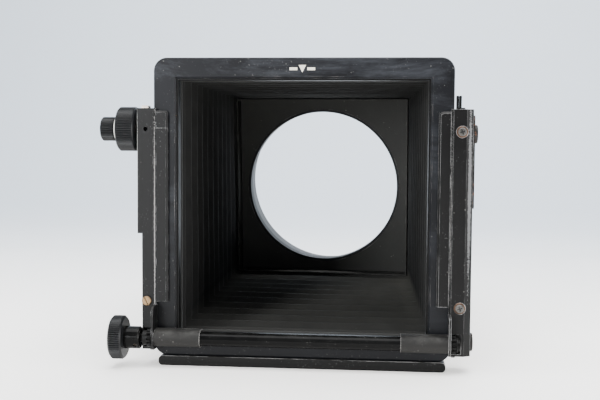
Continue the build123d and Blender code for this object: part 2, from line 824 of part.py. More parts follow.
with BuildPart() as shaft_end_clip:
    with BuildSketch(across(pinion_start + pinion_width + clip_gap)):
        with Locations((shaft_y, shaft_height)):
            Circle(clip_diameter / 2)
            Circle(journal_diameter / 2 + seat_gap, mode=Mode.SUBTRACT)
    extrude(amount=clip_width)
finish(shaft_end_clip.part, "shaft_end_clip")

set_screw_diameter = 2.5
set_screw_length = 2.6
set_screw_gap = 0.05
set_screw_socket = 0.7
set_screw_socket_depth = 1.2
set_screw_place = hub_start + 2.6
set_screw_angle = -35.0        # below the front
hub_chamfer = 0.7
set_screw_plane = Plane(
    origin=(-set_screw_place, shaft_y, shaft_height),
    x_dir=(1, 0, 0),
    z_dir=(0, -cos(radians(set_screw_angle)), sin(radians(set_screw_angle))),
)

with BuildPart() as knob_hub:
    with BuildSketch(across(-hub_start)):
        with Locations((shaft_y, shaft_height)):
            Circle(knob_hub_diameter / 2)
    extrude(amount=-knob_hub_length)
    chamfer(knob_hub.faces().sort_by(Axis.X)[-1].edges(), length=hub_chamfer)
    with BuildSketch(across(-hub_start)):
        with Locations((shaft_y, shaft_height)):
            Circle(journal_diameter / 2 + seat_gap)
    extrude(amount=-knob_hub_length, mode=Mode.SUBTRACT)
    with BuildSketch(set_screw_plane):
        Circle(set_screw_diameter / 2 + seat_gap)
    extrude(amount=knob_hub_diameter, mode=Mode.SUBTRACT)
finish(knob_hub.part, "knob_hub")

with BuildPart() as hub_set_screw:
    with BuildSketch(set_screw_plane.offset(journal_diameter / 2 + set_screw_gap)):
        Circle(set_screw_diameter / 2)
    extrude(amount=set_screw_length)
    with BuildSketch(set_screw_plane.offset(journal_diameter / 2 + set_screw_gap + set_screw_length)):
        RegularPolygon(set_screw_socket, 6)
    extrude(amount=-set_screw_socket_depth, mode=Mode.SUBTRACT)
finish(hub_set_screw.part, "hub_set_screw")


groove_share = 0.62             # side of a knurl groove, of the ridge spacing
dish_depth = 0.8


def knurled_knob(name, inner_face, width, diameter, ridges, edge, dish, bore, y, z):
    """Straight-knurled knob to the left of inner_face, chamfered and dished, with a through bore."""
    radius = diameter / 2
    groove = pi * diameter / ridges * groove_share
    with BuildPart() as knob:
        with BuildSketch(across(-inner_face)):
            with Locations((y, z)):
                Circle(radius)
                with PolarLocations(radius, ridges):
                    Rectangle(groove, groove, rotation=45, mode=Mode.SUBTRACT)
        extrude(amount=-width)
        with BuildSketch(Plane.XZ.offset(-y)):
            with BuildLine():
                Polyline(
                    (-inner_face, z),
                    (-inner_face, z + radius - edge),
                    (-inner_face - edge, z + radius),
                    (-inner_face - width + edge, z + radius),
                    (-inner_face - width, z + radius - edge),
                    (-inner_face - width, z + dish),
                    (-inner_face - width + dish_depth, z + dish - dish_depth),
                    (-inner_face - width + dish_depth, z),
                    close=True,
                )
            make_face()
        revolve(axis=Axis((0, y, z), (1, 0, 0)), mode=Mode.INTERSECT)
        with BuildSketch(across(-inner_face)):
            with Locations((y, z)):
                Circle(bore)
        extrude(amount=-width, mode=Mode.SUBTRACT)
    finish(knob.part, name)


knurled_knob(
    name="drive_knob",
    inner_face=hub_end,
    width=drive_knob_width,
    diameter=drive_knob_diameter,
    ridges=64,
    edge=1.2,
    dish=9.0,
    bore=journal_diameter / 2 + seat_gap,
    y=shaft_y,
    z=shaft_height,
)

# ================================================================ clamp of the carriage
clamp_knob_inner = left_upright_outer + clamp_knob_gap
clamp_knob_end = clamp_knob_inner + clamp_knob_width
lock_inner = clamp_knob_end + lock_knob_gap
lock_stem_diameter = 3.0
lock_stem_length = 9.0
lock_washer_diameter = 13.8
lock_washer_thickness = 2.1
lock_washer_gap = 0.1
shoe_face = frame_side + shoe_gap
spindle_end = clamp_knob_end - dish_depth
bush_diameter = 14.0
bush_length = 1.3
bush_chamfer = 0.4
shoe_depth = 8.0
shoe_height = 12.0
shoe_corner = 1.5
spindle_tip = shoe_face + clamp_shoe_thickness

with BuildPart() as clamp_bush:
    with BuildSketch(across(-left_upright_outer)):
        with Locations((clamp_y, clamp_height)):
            Circle(bush_diameter / 2)
            Circle(spindle_hole, mode=Mode.SUBTRACT)
    extrude(amount=-bush_length)
    chamfer(clamp_bush.faces().sort_by(Axis.X)[0].edges().sort_by(SortBy.RADIUS)[-1], length=bush_chamfer)
finish(clamp_bush.part, "clamp_bush")

with BuildPart() as clamp_shoe:
    with BuildSketch(across(-shoe_face)):
        with Locations((clamp_y, clamp_height)):
            RectangleRounded(shoe_depth, shoe_height, shoe_corner)
    extrude(amount=-clamp_shoe_thickness)
finish(clamp_shoe.part, "clamp_shoe")

with BuildPart() as clamp_spindle:
    with BuildSketch(across(-spindle_tip)):
        with Locations((clamp_y, clamp_height)):
            Circle(spindle_diameter / 2)
    extrude(amount=-(spindle_end - spindle_tip))
    with BuildSketch(across(-spindle_end)):
        with Locations((clamp_y, clamp_height)):
            Circle(lock_stem_diameter / 2 + shaft_gap)
    extrude(amount=lock_stem_length + screw_end_gap, mode=Mode.SUBTRACT)
finish(clamp_spindle.part, "clamp_spindle")

knurled_knob(
    name="clamp_knob",
    inner_face=clamp_knob_inner,
    width=clamp_knob_width,
    diameter=clamp_knob_diameter,
    ridges=80,
    edge=0.9,
    dish=8.4,
    bore=spindle_diameter / 2 + seat_gap,
    y=clamp_y,
    z=clamp_height,
)

knurled_knob(
    name="lock_knob",
    inner_face=lock_inner,
    width=lock_knob_width,
    diameter=lock_knob_diameter,
    ridges=44,
    edge=0.8,
    dish=4.4,
    bore=lock_stem_diameter / 2 + seat_gap,
    y=clamp_y,
    z=clamp_height,
)

with BuildPart() as lock_washer:
    with BuildSketch(across(-(lock_inner - lock_washer_gap))):
        with Locations((clamp_y, clamp_height)):
            Circle(lock_washer_diameter / 2)
            Circle(lock_stem_diameter / 2 + seat_gap, mode=Mode.SUBTRACT)
    extrude(amount=lock_washer_thickness)
finish(lock_washer.part, "lock_washer")

with BuildPart() as lock_screw:
    with BuildSketch(across(-(lock_inner + lock_knob_width - dish_depth))):
        with Locations((clamp_y, clamp_height)):
            Circle(lock_stem_diameter / 2)
    extrude(amount=lock_inner + lock_knob_width - dish_depth - spindle_end + lock_stem_length)
finish(lock_screw.part, "lock_screw")

# ================================================================ rear standard
collar_gap = 1.2               # bellows to the collar, on each side
collar_inner_width = bellows_outer_width - bellows_taper + 2 * collar_gap
collar_inner_height = bellows_outer_height - bellows_taper + 2 * collar_gap
rear_width = collar_inner_width + 2 * rear_wall
rear_height = collar_inner_height + 2 * rear_wall
liner_outer_width = bellows_inner_width - bellows_taper - 2 * cloth_gap
liner_outer_height = bellows_inner_height - bellows_taper - 2 * cloth_gap
window_width = liner_outer_width - 2 * liner_thickness
window_height = liner_outer_height - 2 * liner_thickness
lip_depth = 3.0
rear_liner_length = 9.0
board_gap = 0.1
rear_corner_radius = 5.0
latch_screw_spacing = 40.0
latch_screw_height = lens_board_height / 2 + 4.6
latch_screw_diameter = 3.0
latch_screw_bite = 3.2
latch_screw_head = 6.4
latch_screw_head_height = 1.3
latch_travel = 4.0
foot_screw_spacing = 90.0
foot_screw_diameter = 4.0
foot_screw_bite = 3.0
foot_middle_depth = (lens_board_thickness - collar_depth) / 2

foot_top = rear_centre - rear_up * (rear_height / 2) + rear_axis * foot_middle_depth
foot_top_plane = Plane(origin=foot_top, x_dir=rear_right, z_dir=rear_up)

with BuildPart() as rear_frame:
    with BuildSketch(rear(-collar_depth)):
        RectangleRounded(rear_width, rear_height, rear_corner_radius)
        Rectangle(collar_inner_width, collar_inner_height, mode=Mode.SUBTRACT)
    extrude(amount=-(collar_depth - lip_depth))
    with BuildSketch(rear(-lip_depth)):
        RectangleRounded(rear_width, rear_height, rear_corner_radius)
        Rectangle(window_width, window_height, mode=Mode.SUBTRACT)
    extrude(amount=-lip_depth)
    with BuildSketch(rear(0)):
        RectangleRounded(rear_width, rear_height, rear_corner_radius)
        Rectangle(lens_board_width + 2 * board_gap, lens_board_height + 2 * board_gap, mode=Mode.SUBTRACT)
    extrude(amount=-lens_board_thickness)
    with BuildSketch(rear(lens_board_thickness)):
        for height in (-latch_screw_height, latch_screw_height):
            with Locations((-latch_screw_spacing / 2, height), (latch_screw_spacing / 2, height)):
                Circle(latch_screw_diameter / 2 + seat_gap)
    extrude(amount=latch_screw_bite + screw_end_gap, mode=Mode.SUBTRACT)
    with BuildSketch(foot_top_plane):
        with GridLocations(foot_screw_spacing, 1, 2, 1):
            Circle(foot_screw_diameter / 2 + seat_gap)
    extrude(amount=rear_wall + overrun, mode=Mode.SUBTRACT)
finish(rear_frame.part, "rear_frame")

with BuildPart() as bellows_rear_liner:
    with BuildSketch(rear(-lip_depth)):
        Rectangle(liner_outer_width, liner_outer_height)
        Rectangle(
            liner_outer_width - 2 * liner_thickness,
            liner_outer_height - 2 * liner_thickness,
            mode=Mode.SUBTRACT,
        )
    extrude(amount=rear_liner_length)
finish(bellows_rear_liner.part, "bellows_rear_liner")

spigot_radius = lens_opening / 2 + ring_wall
ring_screw_circle = 74.0
ring_screw_count = 6
ring_screw_diameter = 2.5
ring_screw_bite = 2.7
ring_screw_head = 4.4
ring_screw_head_height = 1.4
ring_screw_chamfer = 0.3
ring_root = 0.6                # thickening where the ring leaves its flange
ring_flange_radius = 78.0
ring_flange_thickness = 3.0
ring_throat = 8.0              # straight part of the round opening

with BuildPart() as lens_board:
    with BuildSketch(rear(0)):
        Rectangle(lens_board_width, lens_board_height)
        Circle(spigot_radius + liner_gap, mode=Mode.SUBTRACT)
    extrude(amount=-lens_board_thickness)
    with BuildSketch(rear(lens_board_thickness)):
        with PolarLocations(ring_screw_circle, ring_screw_count):
            Circle(ring_screw_diameter / 2 + seat_gap)
    extrude(amount=ring_screw_bite + screw_end_gap, mode=Mode.SUBTRACT)
finish(lens_board.part, "lens_board")

ring_section = Plane(origin=rear_centre, x_dir=rear_right, z_dir=rear_right.cross(rear_axis))
with BuildPart() as lens_ring:
    with BuildSketch(ring_section):
        with BuildLine():
            Polyline(
                (lens_opening / 2, 0),
                (lens_opening / 2, ring_throat),
                ((lens_opening + ring_flare) / 2, ring_depth),
                ((lens_opening + ring_flare) / 2 + ring_wall, ring_depth),
                (spigot_radius + ring_root, lens_board_thickness + ring_flange_thickness),
                (ring_flange_radius, lens_board_thickness + ring_flange_thickness),
                (ring_flange_radius, lens_board_thickness),
                (spigot_radius, lens_board_thickness),
                (spigot_radius, 0),
                close=True,
            )
        make_face()
    revolve(axis=Axis(rear_centre, rear_axis))
    with BuildSketch(rear(lens_board_thickness)):
        with PolarLocations(ring_screw_circle, ring_screw_count):
            Circle(ring_screw_diameter / 2 + seat_gap)
    extrude(amount=-ring_flange_thickness, mode=Mode.SUBTRACT)
finish(lens_ring.part, "lens_ring")

with BuildPart() as ring_screws:
    with BuildSketch(rear(lens_board_thickness + ring_flange_thickness)):
        with PolarLocations(ring_screw_circle, ring_screw_count):
            Circle(ring_screw_head / 2)
    extrude(amount=-ring_screw_head_height)
    flat_faces = ring_screws.faces().filter_by(GeomType.PLANE).sort_by(Axis(rear_centre, rear_axis))
    chamfer(flat_faces[-ring_screw_count:].edges(), length=ring_screw_chamfer)
    with BuildSketch(rear(lens_board_thickness + ring_flange_thickness)):
        with PolarLocations(ring_screw_circle, ring_screw_count):
            Circle(ring_screw_diameter / 2)
    extrude(amount=ring_flange_thickness + ring_screw_bite)
finish(ring_screws.part, "ring_screws")

# ---------------------------------------------------------------- latch and ledge of the lens board
latch_width = 62.0
latch_thickness = 2.0
latch_gap = 0.12
latch_lap = 2.8                # how far the latch and the ledge lap over the board
latch_top = rear_height / 2 - head_gap
latch_corner = 1.2
rib_spacing = 2.0
rib_length = 18.0
rib_width = 1.0
rib_height = 0.9
ledge_extra = 20.0             # how much longer the ledge is than the latch
plate_bottom = lens_board_height / 2 - latch_lap

with BuildPart() as board_latch:
    with BuildSketch(rear(lens_board_thickness + latch_gap)):
        with Locations((0, (plate_bottom + latch_top) / 2)):
            RectangleRounded(latch_width, latch_top - plate_bottom, latch_corner)
        with Locations(
            (-latch_screw_spacing / 2, latch_screw_height - latch_travel / 2),
            (latch_screw_spacing / 2, latch_screw_height - latch_travel / 2),
        ):
            SlotCenterToCenter(
                latch_travel, latch_screw_diameter + 2 * shaft_gap, rotation=90, mode=Mode.SUBTRACT
            )
    extrude(amount=-latch_thickness)
    with BuildSketch(rear(lens_board_thickness + latch_gap + latch_thickness)):
        for rib in (-1, 0, 1):
            with Locations((0, latch_screw_height + rib * rib_spacing)):
                Rectangle(rib_length, rib_width)
    extrude(amount=-rib_height)
finish(board_latch.part, "board_latch")

with BuildPart() as board_ledge:
    with BuildSketch(rear(lens_board_thickness)):
        with Locations((0, -(plate_bottom + latch_top) / 2)):
            RectangleRounded(latch_width + ledge_extra, latch_top - plate_bottom, latch_corner)
        with Locations(
            (-latch_screw_spacing / 2, -latch_screw_height),
            (latch_screw_spacing / 2, -latch_screw_height),
        ):
            Circle(latch_screw_diameter / 2 + seat_gap, mode=Mode.SUBTRACT)
    extrude(amount=-latch_thickness)
finish(board_ledge.part, "board_ledge")


def board_screws(name, height, seat):
    """Two flat-headed screws in the rear frame, their heads seated at the depth seat."""
    with BuildPart() as screws:
        with BuildSketch(rear(seat)):
            with GridLocations(latch_screw_spacing, 1, 2, 1):
                with Locations((0, height)):
                    Circle(latch_screw_head / 2)
        extrude(amount=-latch_screw_head_height)
        with BuildSketch(rear(seat)):
            with GridLocations(latch_screw_spacing, 1, 2, 1):
                with Locations((0, height)):
                    Circle(latch_screw_diameter / 2)
        extrude(amount=seat - lens_board_thickness + latch_screw_bite)
    finish(screws.part, name)


board_screws("latch_screws", latch_screw_height, lens_board_thickness + latch_thickness + 2 * latch_gap)
board_screws("ledge_screws", -latch_screw_height, lens_board_thickness + latch_thickness)

# ---------------------------------------------------------------- foot under the rear frame
foot_screw_head = 7.0
foot_screw_head_height = 2.4
foot_corner = 2.0
foot_screw_sink = 5.0          # from the frame's underside down to the screw's head
foot_start = Vector(foot_top.X, foot_top.Y, 0)
with BuildPart() as rear_foot:
    with BuildSketch(Plane(origin=foot_start, x_dir=rear_right, z_dir=(0, 0, 1))):
        RectangleRounded(rear_foot_length, rear_foot_depth, foot_corner)
    extrude(amount=foot_top.Z + rear_foot_depth)
    split(bisect_by=foot_top_plane, keep=Keep.BOTTOM)
    with BuildSketch(foot_top_plane):
        with GridLocations(foot_screw_spacing, 1, 2, 1):
            Circle(foot_screw_diameter / 2 + seat_gap)
    extrude(amount=-foot_screw_sink, mode=Mode.SUBTRACT)
    with BuildSketch(foot_top_plane.offset(-foot_screw_sink)):
        with GridLocations(foot_screw_spacing, 1, 2, 1):
            Circle(foot_screw_head / 2 + board_gap)
    extrude(amount=-foot_top.Z, mode=Mode.SUBTRACT)
finish(rear_foot.part, "rear_foot")

with BuildPart() as foot_screws:
    with BuildSketch(foot_top_plane.offset(-foot_screw_sink)):
        with GridLocations(foot_screw_spacing, 1, 2, 1):
            Circle(foot_screw_head / 2)
    extrude(amount=-foot_screw_head_height)
    with BuildSketch(foot_top_plane.offset(-foot_screw_sink)):
        with GridLocations(foot_screw_spacing, 1, 2, 1):
            Circle(foot_screw_diameter / 2)
    extrude(amount=foot_screw_sink + foot_screw_bite)
finish(foot_screws.part, "foot_screws")
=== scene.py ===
# %% [markdown]
# # A bellows camera body, finished in Blender
# The hard parts come from the CAD model and stay where they are. This lesson gives them their
# worn black finishes, makes the folded bellows, and sets up the studio that they stand in.
# Everything is in metres: X to the right, Y along the bellows to the rear, Z up.

# %% Load the fixed frame
import math

import bmesh
import bpy
from mathutils import Matrix, Vector, noise


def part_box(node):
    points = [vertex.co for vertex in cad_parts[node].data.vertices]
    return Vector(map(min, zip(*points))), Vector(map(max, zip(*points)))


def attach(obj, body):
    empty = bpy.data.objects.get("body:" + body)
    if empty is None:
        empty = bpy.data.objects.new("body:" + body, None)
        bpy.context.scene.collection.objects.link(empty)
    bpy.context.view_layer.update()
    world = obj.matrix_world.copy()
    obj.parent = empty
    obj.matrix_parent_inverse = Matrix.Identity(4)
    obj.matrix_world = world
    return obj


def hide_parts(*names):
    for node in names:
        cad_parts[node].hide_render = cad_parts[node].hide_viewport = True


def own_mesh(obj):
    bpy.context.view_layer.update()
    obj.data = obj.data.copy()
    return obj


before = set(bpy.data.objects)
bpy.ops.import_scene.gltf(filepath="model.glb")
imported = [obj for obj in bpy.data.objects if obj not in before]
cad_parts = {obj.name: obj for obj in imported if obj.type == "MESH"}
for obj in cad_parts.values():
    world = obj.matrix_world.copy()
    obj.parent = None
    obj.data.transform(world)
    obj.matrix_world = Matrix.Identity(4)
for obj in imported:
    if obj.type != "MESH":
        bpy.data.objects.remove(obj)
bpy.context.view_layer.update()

# %% [markdown]
# ## The camera that looks at the camera
# The body was measured through a lens of about 56 mm on a 36 mm wide sensor, from a little over
# half a metre in front and a little above the middle. The three turns are given as the eye's own
# right, up and forward directions, which is easier to check than angles about fixed axes.

# %% Place the viewpoint
EYE_PLACE = (0.0489, -0.5678, 0.1364)
EYE_YAW, EYE_PITCH, EYE_ROLL = math.radians(5.07), math.radians(3.491), math.radians(0.375)
SENSOR_WIDTH, FOCAL_LENGTH = 36.0, 56.47                  # in millimetres
NEAREST, FARTHEST = 0.01, 20.0                            # in metres


def turn_pair(first, second, angle):
    """Turns two directions at right angles to each other, in their own plane."""
    cosine, sine = math.cos(angle), math.sin(angle)
    return first * cosine + second * sine, second * cosine - first * sine


def view_directions(yaw, pitch, roll):
    """Right, up and forward of an eye that first looks along Y and is then turned."""
    forward = Vector((-math.sin(yaw), math.cos(yaw), 0))
    right = Vector((math.cos(yaw), math.sin(yaw), 0))
    up = Vector((0, 0, 1))
    forward, up = turn_pair(forward, up, -pitch)
    right, up = turn_pair(right, up, roll)
    return right, up, forward


right, up, forward = view_directions(EYE_YAW, EYE_PITCH, EYE_ROLL)
lens = bpy.data.cameras.new("viewpoint")
lens.sensor_width = SENSOR_WIDTH
lens.lens = FOCAL_LENGTH
lens.clip_start = NEAREST
lens.clip_end = FARTHEST
viewpoint = bpy.data.objects.new("viewpoint", lens)
bpy.context.scene.collection.objects.link(viewpoint)
turned = Matrix((right, up, -forward)).transposed().to_4x4()
viewpoint.matrix_world = Matrix.Translation(EYE_PLACE) @ turned
bpy.context.scene.camera = viewpoint
print("viewpoint at", tuple(round(v, 4) for v in viewpoint.matrix_world.translation))

# %% [markdown]
# ## Small helpers for node materials
# A material is a chain of nodes. These helpers add a node, fill in its sockets and join it up in
# one call, so that each finish below reads like a recipe.

# %% Helpers for nodes
def fill(tree, socket, value):
    """Joins a socket to another node's output, or gives it a fixed value."""
    if isinstance(value, bpy.types.NodeSocket):
        tree.links.new(value, socket)
    else:
        socket.default_value = value


def add_node(tree, kind, settings=None, **sockets):
    """Adds a node and fills its sockets. They are named, or numbered as in0, in1 and so on."""
    made = tree.nodes.new("ShaderNode" + kind)
    for key, value in (settings or {}).items():
        setattr(made, key, value)
    for key, value in sockets.items():
        place = key.replace("_", " ") if not key.startswith("in") else int(key[2:])
        fill(tree, made.inputs[place], value)
    return made


def colour_mix(tree, amount, under, over):
    """Colour that goes from under to over as amount goes from 0 to 1."""
    mixer = tree.nodes.new("ShaderNodeMix")
    mixer.data_type = "RGBA"
    for place, value in ((0, amount), (6, under), (7, over)):
        fill(tree, mixer.inputs[place], value)
    return mixer.outputs[2]


def calculate(tree, how, first, second=0.0, clamp=False):
    """One sum of two values, such as MULTIPLY."""
    sum_node = tree.nodes.new("ShaderNodeMath")
    sum_node.operation = how
    sum_node.use_clamp = clamp
    fill(tree, sum_node.inputs[0], first)
    fill(tree, sum_node.inputs[1], second)
    return sum_node.outputs[0]


def spread(tree, value, low, high, to_low=0.0, to_high=1.0):
    """Stretches the part of value between low and high over a new span, and cuts off the rest."""
    ranger = add_node(tree, "MapRange", {"clamp": True}, Value=value)
    for name, number in (("From Min", low), ("From Max", high), ("To Min", to_low), ("To Max", to_high)):
        ranger.inputs[name].default_value = number
    return ranger.outputs[0]


def new_group(name, inputs, outputs):
    """A node group with named value inputs and outputs."""
    group = bpy.data.node_groups.new(name, "ShaderNodeTree")
    for socket_name, kind, start in inputs:
        socket = group.interface.new_socket(socket_name, in_out="INPUT", socket_type="NodeSocket" + kind)
        socket.default_value = start
    for socket_name, kind in outputs:
        group.interface.new_socket(socket_name, in_out="OUTPUT", socket_type="NodeSocket" + kind)
    return group, group.nodes.new("NodeGroupInput").outputs, group.nodes.new("NodeGroupOutput").inputs


def place_group(tree, group, **sockets):
    """Puts a group into a material and fills its inputs."""
    placed = tree.nodes.new("ShaderNodeGroup")
    placed.node_tree = group
    for key, value in sockets.items():
        fill(tree, placed.inputs[key.replace("_", " ")], value)
    return placed.outputs


print("helpers:", [helper.__name__ for helper in (fill, add_node, colour_mix, calculate, spread)])

# %% [markdown]
# ## Effects that many finishes share
# Old enamel and anodising wear in the same few ways: bare metal along the edges, hairline
# scratches, dust on what faces up, and a cloudiness where hands have polished it. Each effect is
# a node group that gives a mask or a height, and each finish decides what to do with it.

# %% Worn edges
# This edge mask also paints the highlight on the fold ridges of the bellows.
edge_wear_and_highlight, given, made = new_group(
    "edge wear and highlight",
    [("Reach", "Float", 0.0008), ("Patchiness", "Float", 60.0), ("Bareness", "Float", 0.5)],
    [("Mask", "Float")],
)
geometry = add_node(edge_wear_and_highlight, "NewGeometry")
rounded = add_node(edge_wear_and_highlight, "Bevel", {"samples": 6}, Radius=given["Reach"])
likeness = add_node(
    edge_wear_and_highlight, "VectorMath", {"operation": "DOT_PRODUCT"}, in0=rounded.outputs[0],
    in1=geometry.outputs["Normal"],
)
edge = spread(edge_wear_and_highlight, likeness.outputs["Value"], 0.995, 0.80)
here = add_node(edge_wear_and_highlight, "TexCoord").outputs["Object"]
patches = add_node(edge_wear_and_highlight, "TexNoise", Vector=here, Scale=given["Patchiness"], Detail=5.0, Roughness=0.65)
keep = calculate(edge_wear_and_highlight, "SUBTRACT", given["Bareness"], patches.outputs[0])
keep = spread(edge_wear_and_highlight, keep, -0.06, 0.10)
edge_wear_and_highlight.links.new(calculate(edge_wear_and_highlight, "MULTIPLY", edge, keep, clamp=True), made["Mask"])
print("group:", edge_wear_and_highlight.name)

# %% [markdown]
# ## Hairline scratches
# Handling leaves fine lines in the coat, in a few main directions. They could be drawn one by one,
# but a noise that is stretched very long gives thin streaks, and a second, broader noise keeps them
# only in patches. Three stretched copies at different turns are enough to look accidental.

# %% Hairline scratches
scratches, given, made = new_group(
    "scratches", [("Fineness", "Float", 900.0), ("Amount", "Float", 0.5)], [("Mask", "Float")]
)
here = add_node(scratches, "TexCoord").outputs["Object"]
found = None
for turn, stretch in ((0.4, 0.03), (1.5, 0.02), (2.5, 0.04)):
    bent = add_node(
        scratches, "Mapping", Vector=here, Rotation=(turn, turn * 0.7, turn * 1.3), Scale=(1, stretch, 1),
    )
    hair = add_node(scratches, "TexNoise", Vector=bent.outputs[0], Scale=given["Fineness"], Detail=1.0)
    fade = add_node(scratches, "TexNoise", Vector=here, Scale=35.0 + 20 * turn, Detail=2.0)
    line = spread(scratches, hair.outputs[0], 0.70, 0.76)
    part = spread(scratches, fade.outputs[0], 0.52, 0.66)
    line = calculate(scratches, "MULTIPLY", line, part)
    found = line if found is None else calculate(scratches, "MAXIMUM", found, line)
scratches.links.new(calculate(scratches, "MULTIPLY", found, given["Amount"], clamp=True), made["Mask"])
print("group:", scratches.name)

# %% [markdown]
# ## Dust and specks
# Dust lies as single specks anywhere and as a thin film on what faces up. The specks are the cells
# of a Voronoi texture, of which only a few are kept, and the film is a noise that is multiplied by
# how far the surface looks upwards.

# %% Dust and specks
dust, given, made = new_group(
    "dust", [("Speck size", "Float", 0.25), ("Specks", "Float", 0.5), ("Film", "Float", 0.2)],
    [("Mask", "Float")],
)
here = add_node(dust, "TexCoord").outputs["Object"]
upward = add_node(dust, "SeparateXYZ", Vector=add_node(dust, "NewGeometry").outputs["Normal"]).outputs["Z"]
level = spread(dust, upward, 0.1, 0.95)
cells = add_node(dust, "TexVoronoi", Vector=here, Scale=620.0)
chance = add_node(dust, "SeparateColor", Color=cells.outputs["Color"]).outputs
width = calculate(dust, "MULTIPLY", given["Speck size"], spread(dust, chance[1], 0.0, 1.0, 0.25, 1.0))
speck = calculate(dust, "LESS_THAN", cells.outputs["Distance"], width)
rare = calculate(dust, "GREATER_THAN", chance[0], 0.965)
rare = calculate(dust, "MULTIPLY", rare, spread(dust, chance[2], 0, 1, 0.3, 1.0))
speck = calculate(dust, "MULTIPLY", calculate(dust, "MULTIPLY", speck, rare), given["Specks"])
film = add_node(dust, "TexNoise", Vector=here, Scale=90.0, Detail=6.0, Roughness=0.7)
film = calculate(dust, "MULTIPLY", spread(dust, film.outputs[0], 0.40, 0.72), level)
film = calculate(dust, "MULTIPLY", film, given["Film"])
dust.links.new(calculate(dust, "MAXIMUM", speck, film, clamp=True), made["Mask"])
print("group:", dust.name)

# %% [markdown]
# ## Clouds and grain
# No old coat has one even tone. A broad noise gives the slow change of colour and gloss, and a very
# fine one gives the grain that breaks up a highlight.

# %% Clouds and grain
clouds, given, made = new_group(
    "clouds", [("Size", "Float", 12.0), ("Grain", "Float", 1500.0)],
    [("Tone", "Float"), ("Height", "Float")],
)
here = add_node(clouds, "TexCoord").outputs["Object"]
broad = add_node(clouds, "TexNoise", Vector=here, Scale=given["Size"], Detail=6.0, Roughness=0.6)
fine = add_node(clouds, "TexNoise", Vector=here, Scale=given["Grain"], Detail=2.0, Roughness=0.5)
clouds.links.new(spread(clouds, broad.outputs[0], 0.3, 0.7), made["Tone"])
clouds.links.new(fine.outputs[0], made["Height"])
print("group:", clouds.name)

# %% [markdown]
# ## Hazy smears, and painted shade towards the foot
# The enamel carries bluish smears where it was wiped. They are a distorted noise, crossed with fine
# streaks along the stroke, and they fade towards the foot, which leaves the lower part darker as painted
# shade.

# %% Hazy smears that wiping leaves
smears, given, made = new_group(
    "smears", [("Amount", "Float", 0.5), ("Size", "Float", 22.0)], [("Mask", "Float")]
)
here = add_node(smears, "TexCoord").outputs["Object"]
wiped = add_node(smears, "Mapping", Vector=here, Rotation=(0.2, 0.5, 0.1), Scale=(0.45, 1.0, 1.6))
haze = add_node(
    smears, "TexNoise", Vector=wiped.outputs[0], Scale=given["Size"], Detail=8.0, Roughness=0.72,
    Distortion=0.8,
)
streak = add_node(smears, "Mapping", Vector=here, Rotation=(0, 0.35, 0), Scale=(0.06, 1.0, 1.0))
height = add_node(smears, "SeparateXYZ", Vector=here).outputs["Z"]
streaks = add_node(smears, "TexNoise", Vector=streak.outputs[0], Scale=420.0, Detail=3.0)
streaky = spread(smears, streaks.outputs[0], 0.35, 0.7, 0.45, 1.0)
found = calculate(smears, "MULTIPLY", spread(smears, haze.outputs[0], 0.47, 0.72), streaky)
# Fading the smears towards the foot paints shade on the lower part of the frame.
found = calculate(smears, "MULTIPLY", found, spread(smears, height, 0.02, 0.17, 0.1, 1.0))
smears.links.new(calculate(smears, "MULTIPLY", found, given["Amount"], clamp=True), made["Mask"])
print("group:", smears.name)

# %% [markdown]
# ## A single chip, highlight or shade
# Some marks have a known place: a loss of paint on an edge, the bright line along a bevel, which is
# wear and painted highlight together, and the painted shade in the cross of a screw or down the inner
# wall of an opening. Each is a small ellipsoid in space with a ragged edge, and a very long one
# becomes a line.

# %% A single chip, painted highlight or painted shade at a chosen place
chip, given, made = new_group(
    "chip", [("Place", "Vector", (0, 0, 0)), ("Size", "Float", 0.001), ("Stretch", "Vector", (1, 1, 1))],
    [("Mask", "Float")],
)
here = add_node(chip, "TexCoord").outputs["Object"]
away = add_node(chip, "VectorMath", {"operation": "SUBTRACT"}, in0=here, in1=given["Place"])
away = add_node(chip, "VectorMath", {"operation": "DIVIDE"}, in0=away.outputs[0], in1=given["Stretch"])
distance = add_node(chip, "VectorMath", {"operation": "LENGTH"}, in0=away.outputs[0]).outputs["Value"]
ragged = add_node(chip, "TexNoise", Vector=here, Scale=1400.0, Detail=3.0).outputs[0]
ragged = spread(chip, ragged, 0.3, 0.7, 0.6, 1.5)
limit = calculate(chip, "MULTIPLY", given["Size"], ragged)
chip.links.new(calculate(chip, "LESS_THAN", distance, limit), made["Mask"])
print("group:", chip.name)

# %% [markdown]
# ## Black finishes on metal
# One recipe serves most of the body: a dark coat with a cloudy tone, worn to bare metal at the
# edges, with scratches and dust, and with marks at chosen places, some of them painted highlights and
# some painted shade. What differs from piece to piece is how dark, how glossy and how worn it is, so
# the recipe is a function and each finish gives its own numbers.

# %% The recipe for a worn dark coat
HAZE = (0.115, 0.125, 0.145, 1)
MILLIMETRE = 0.001


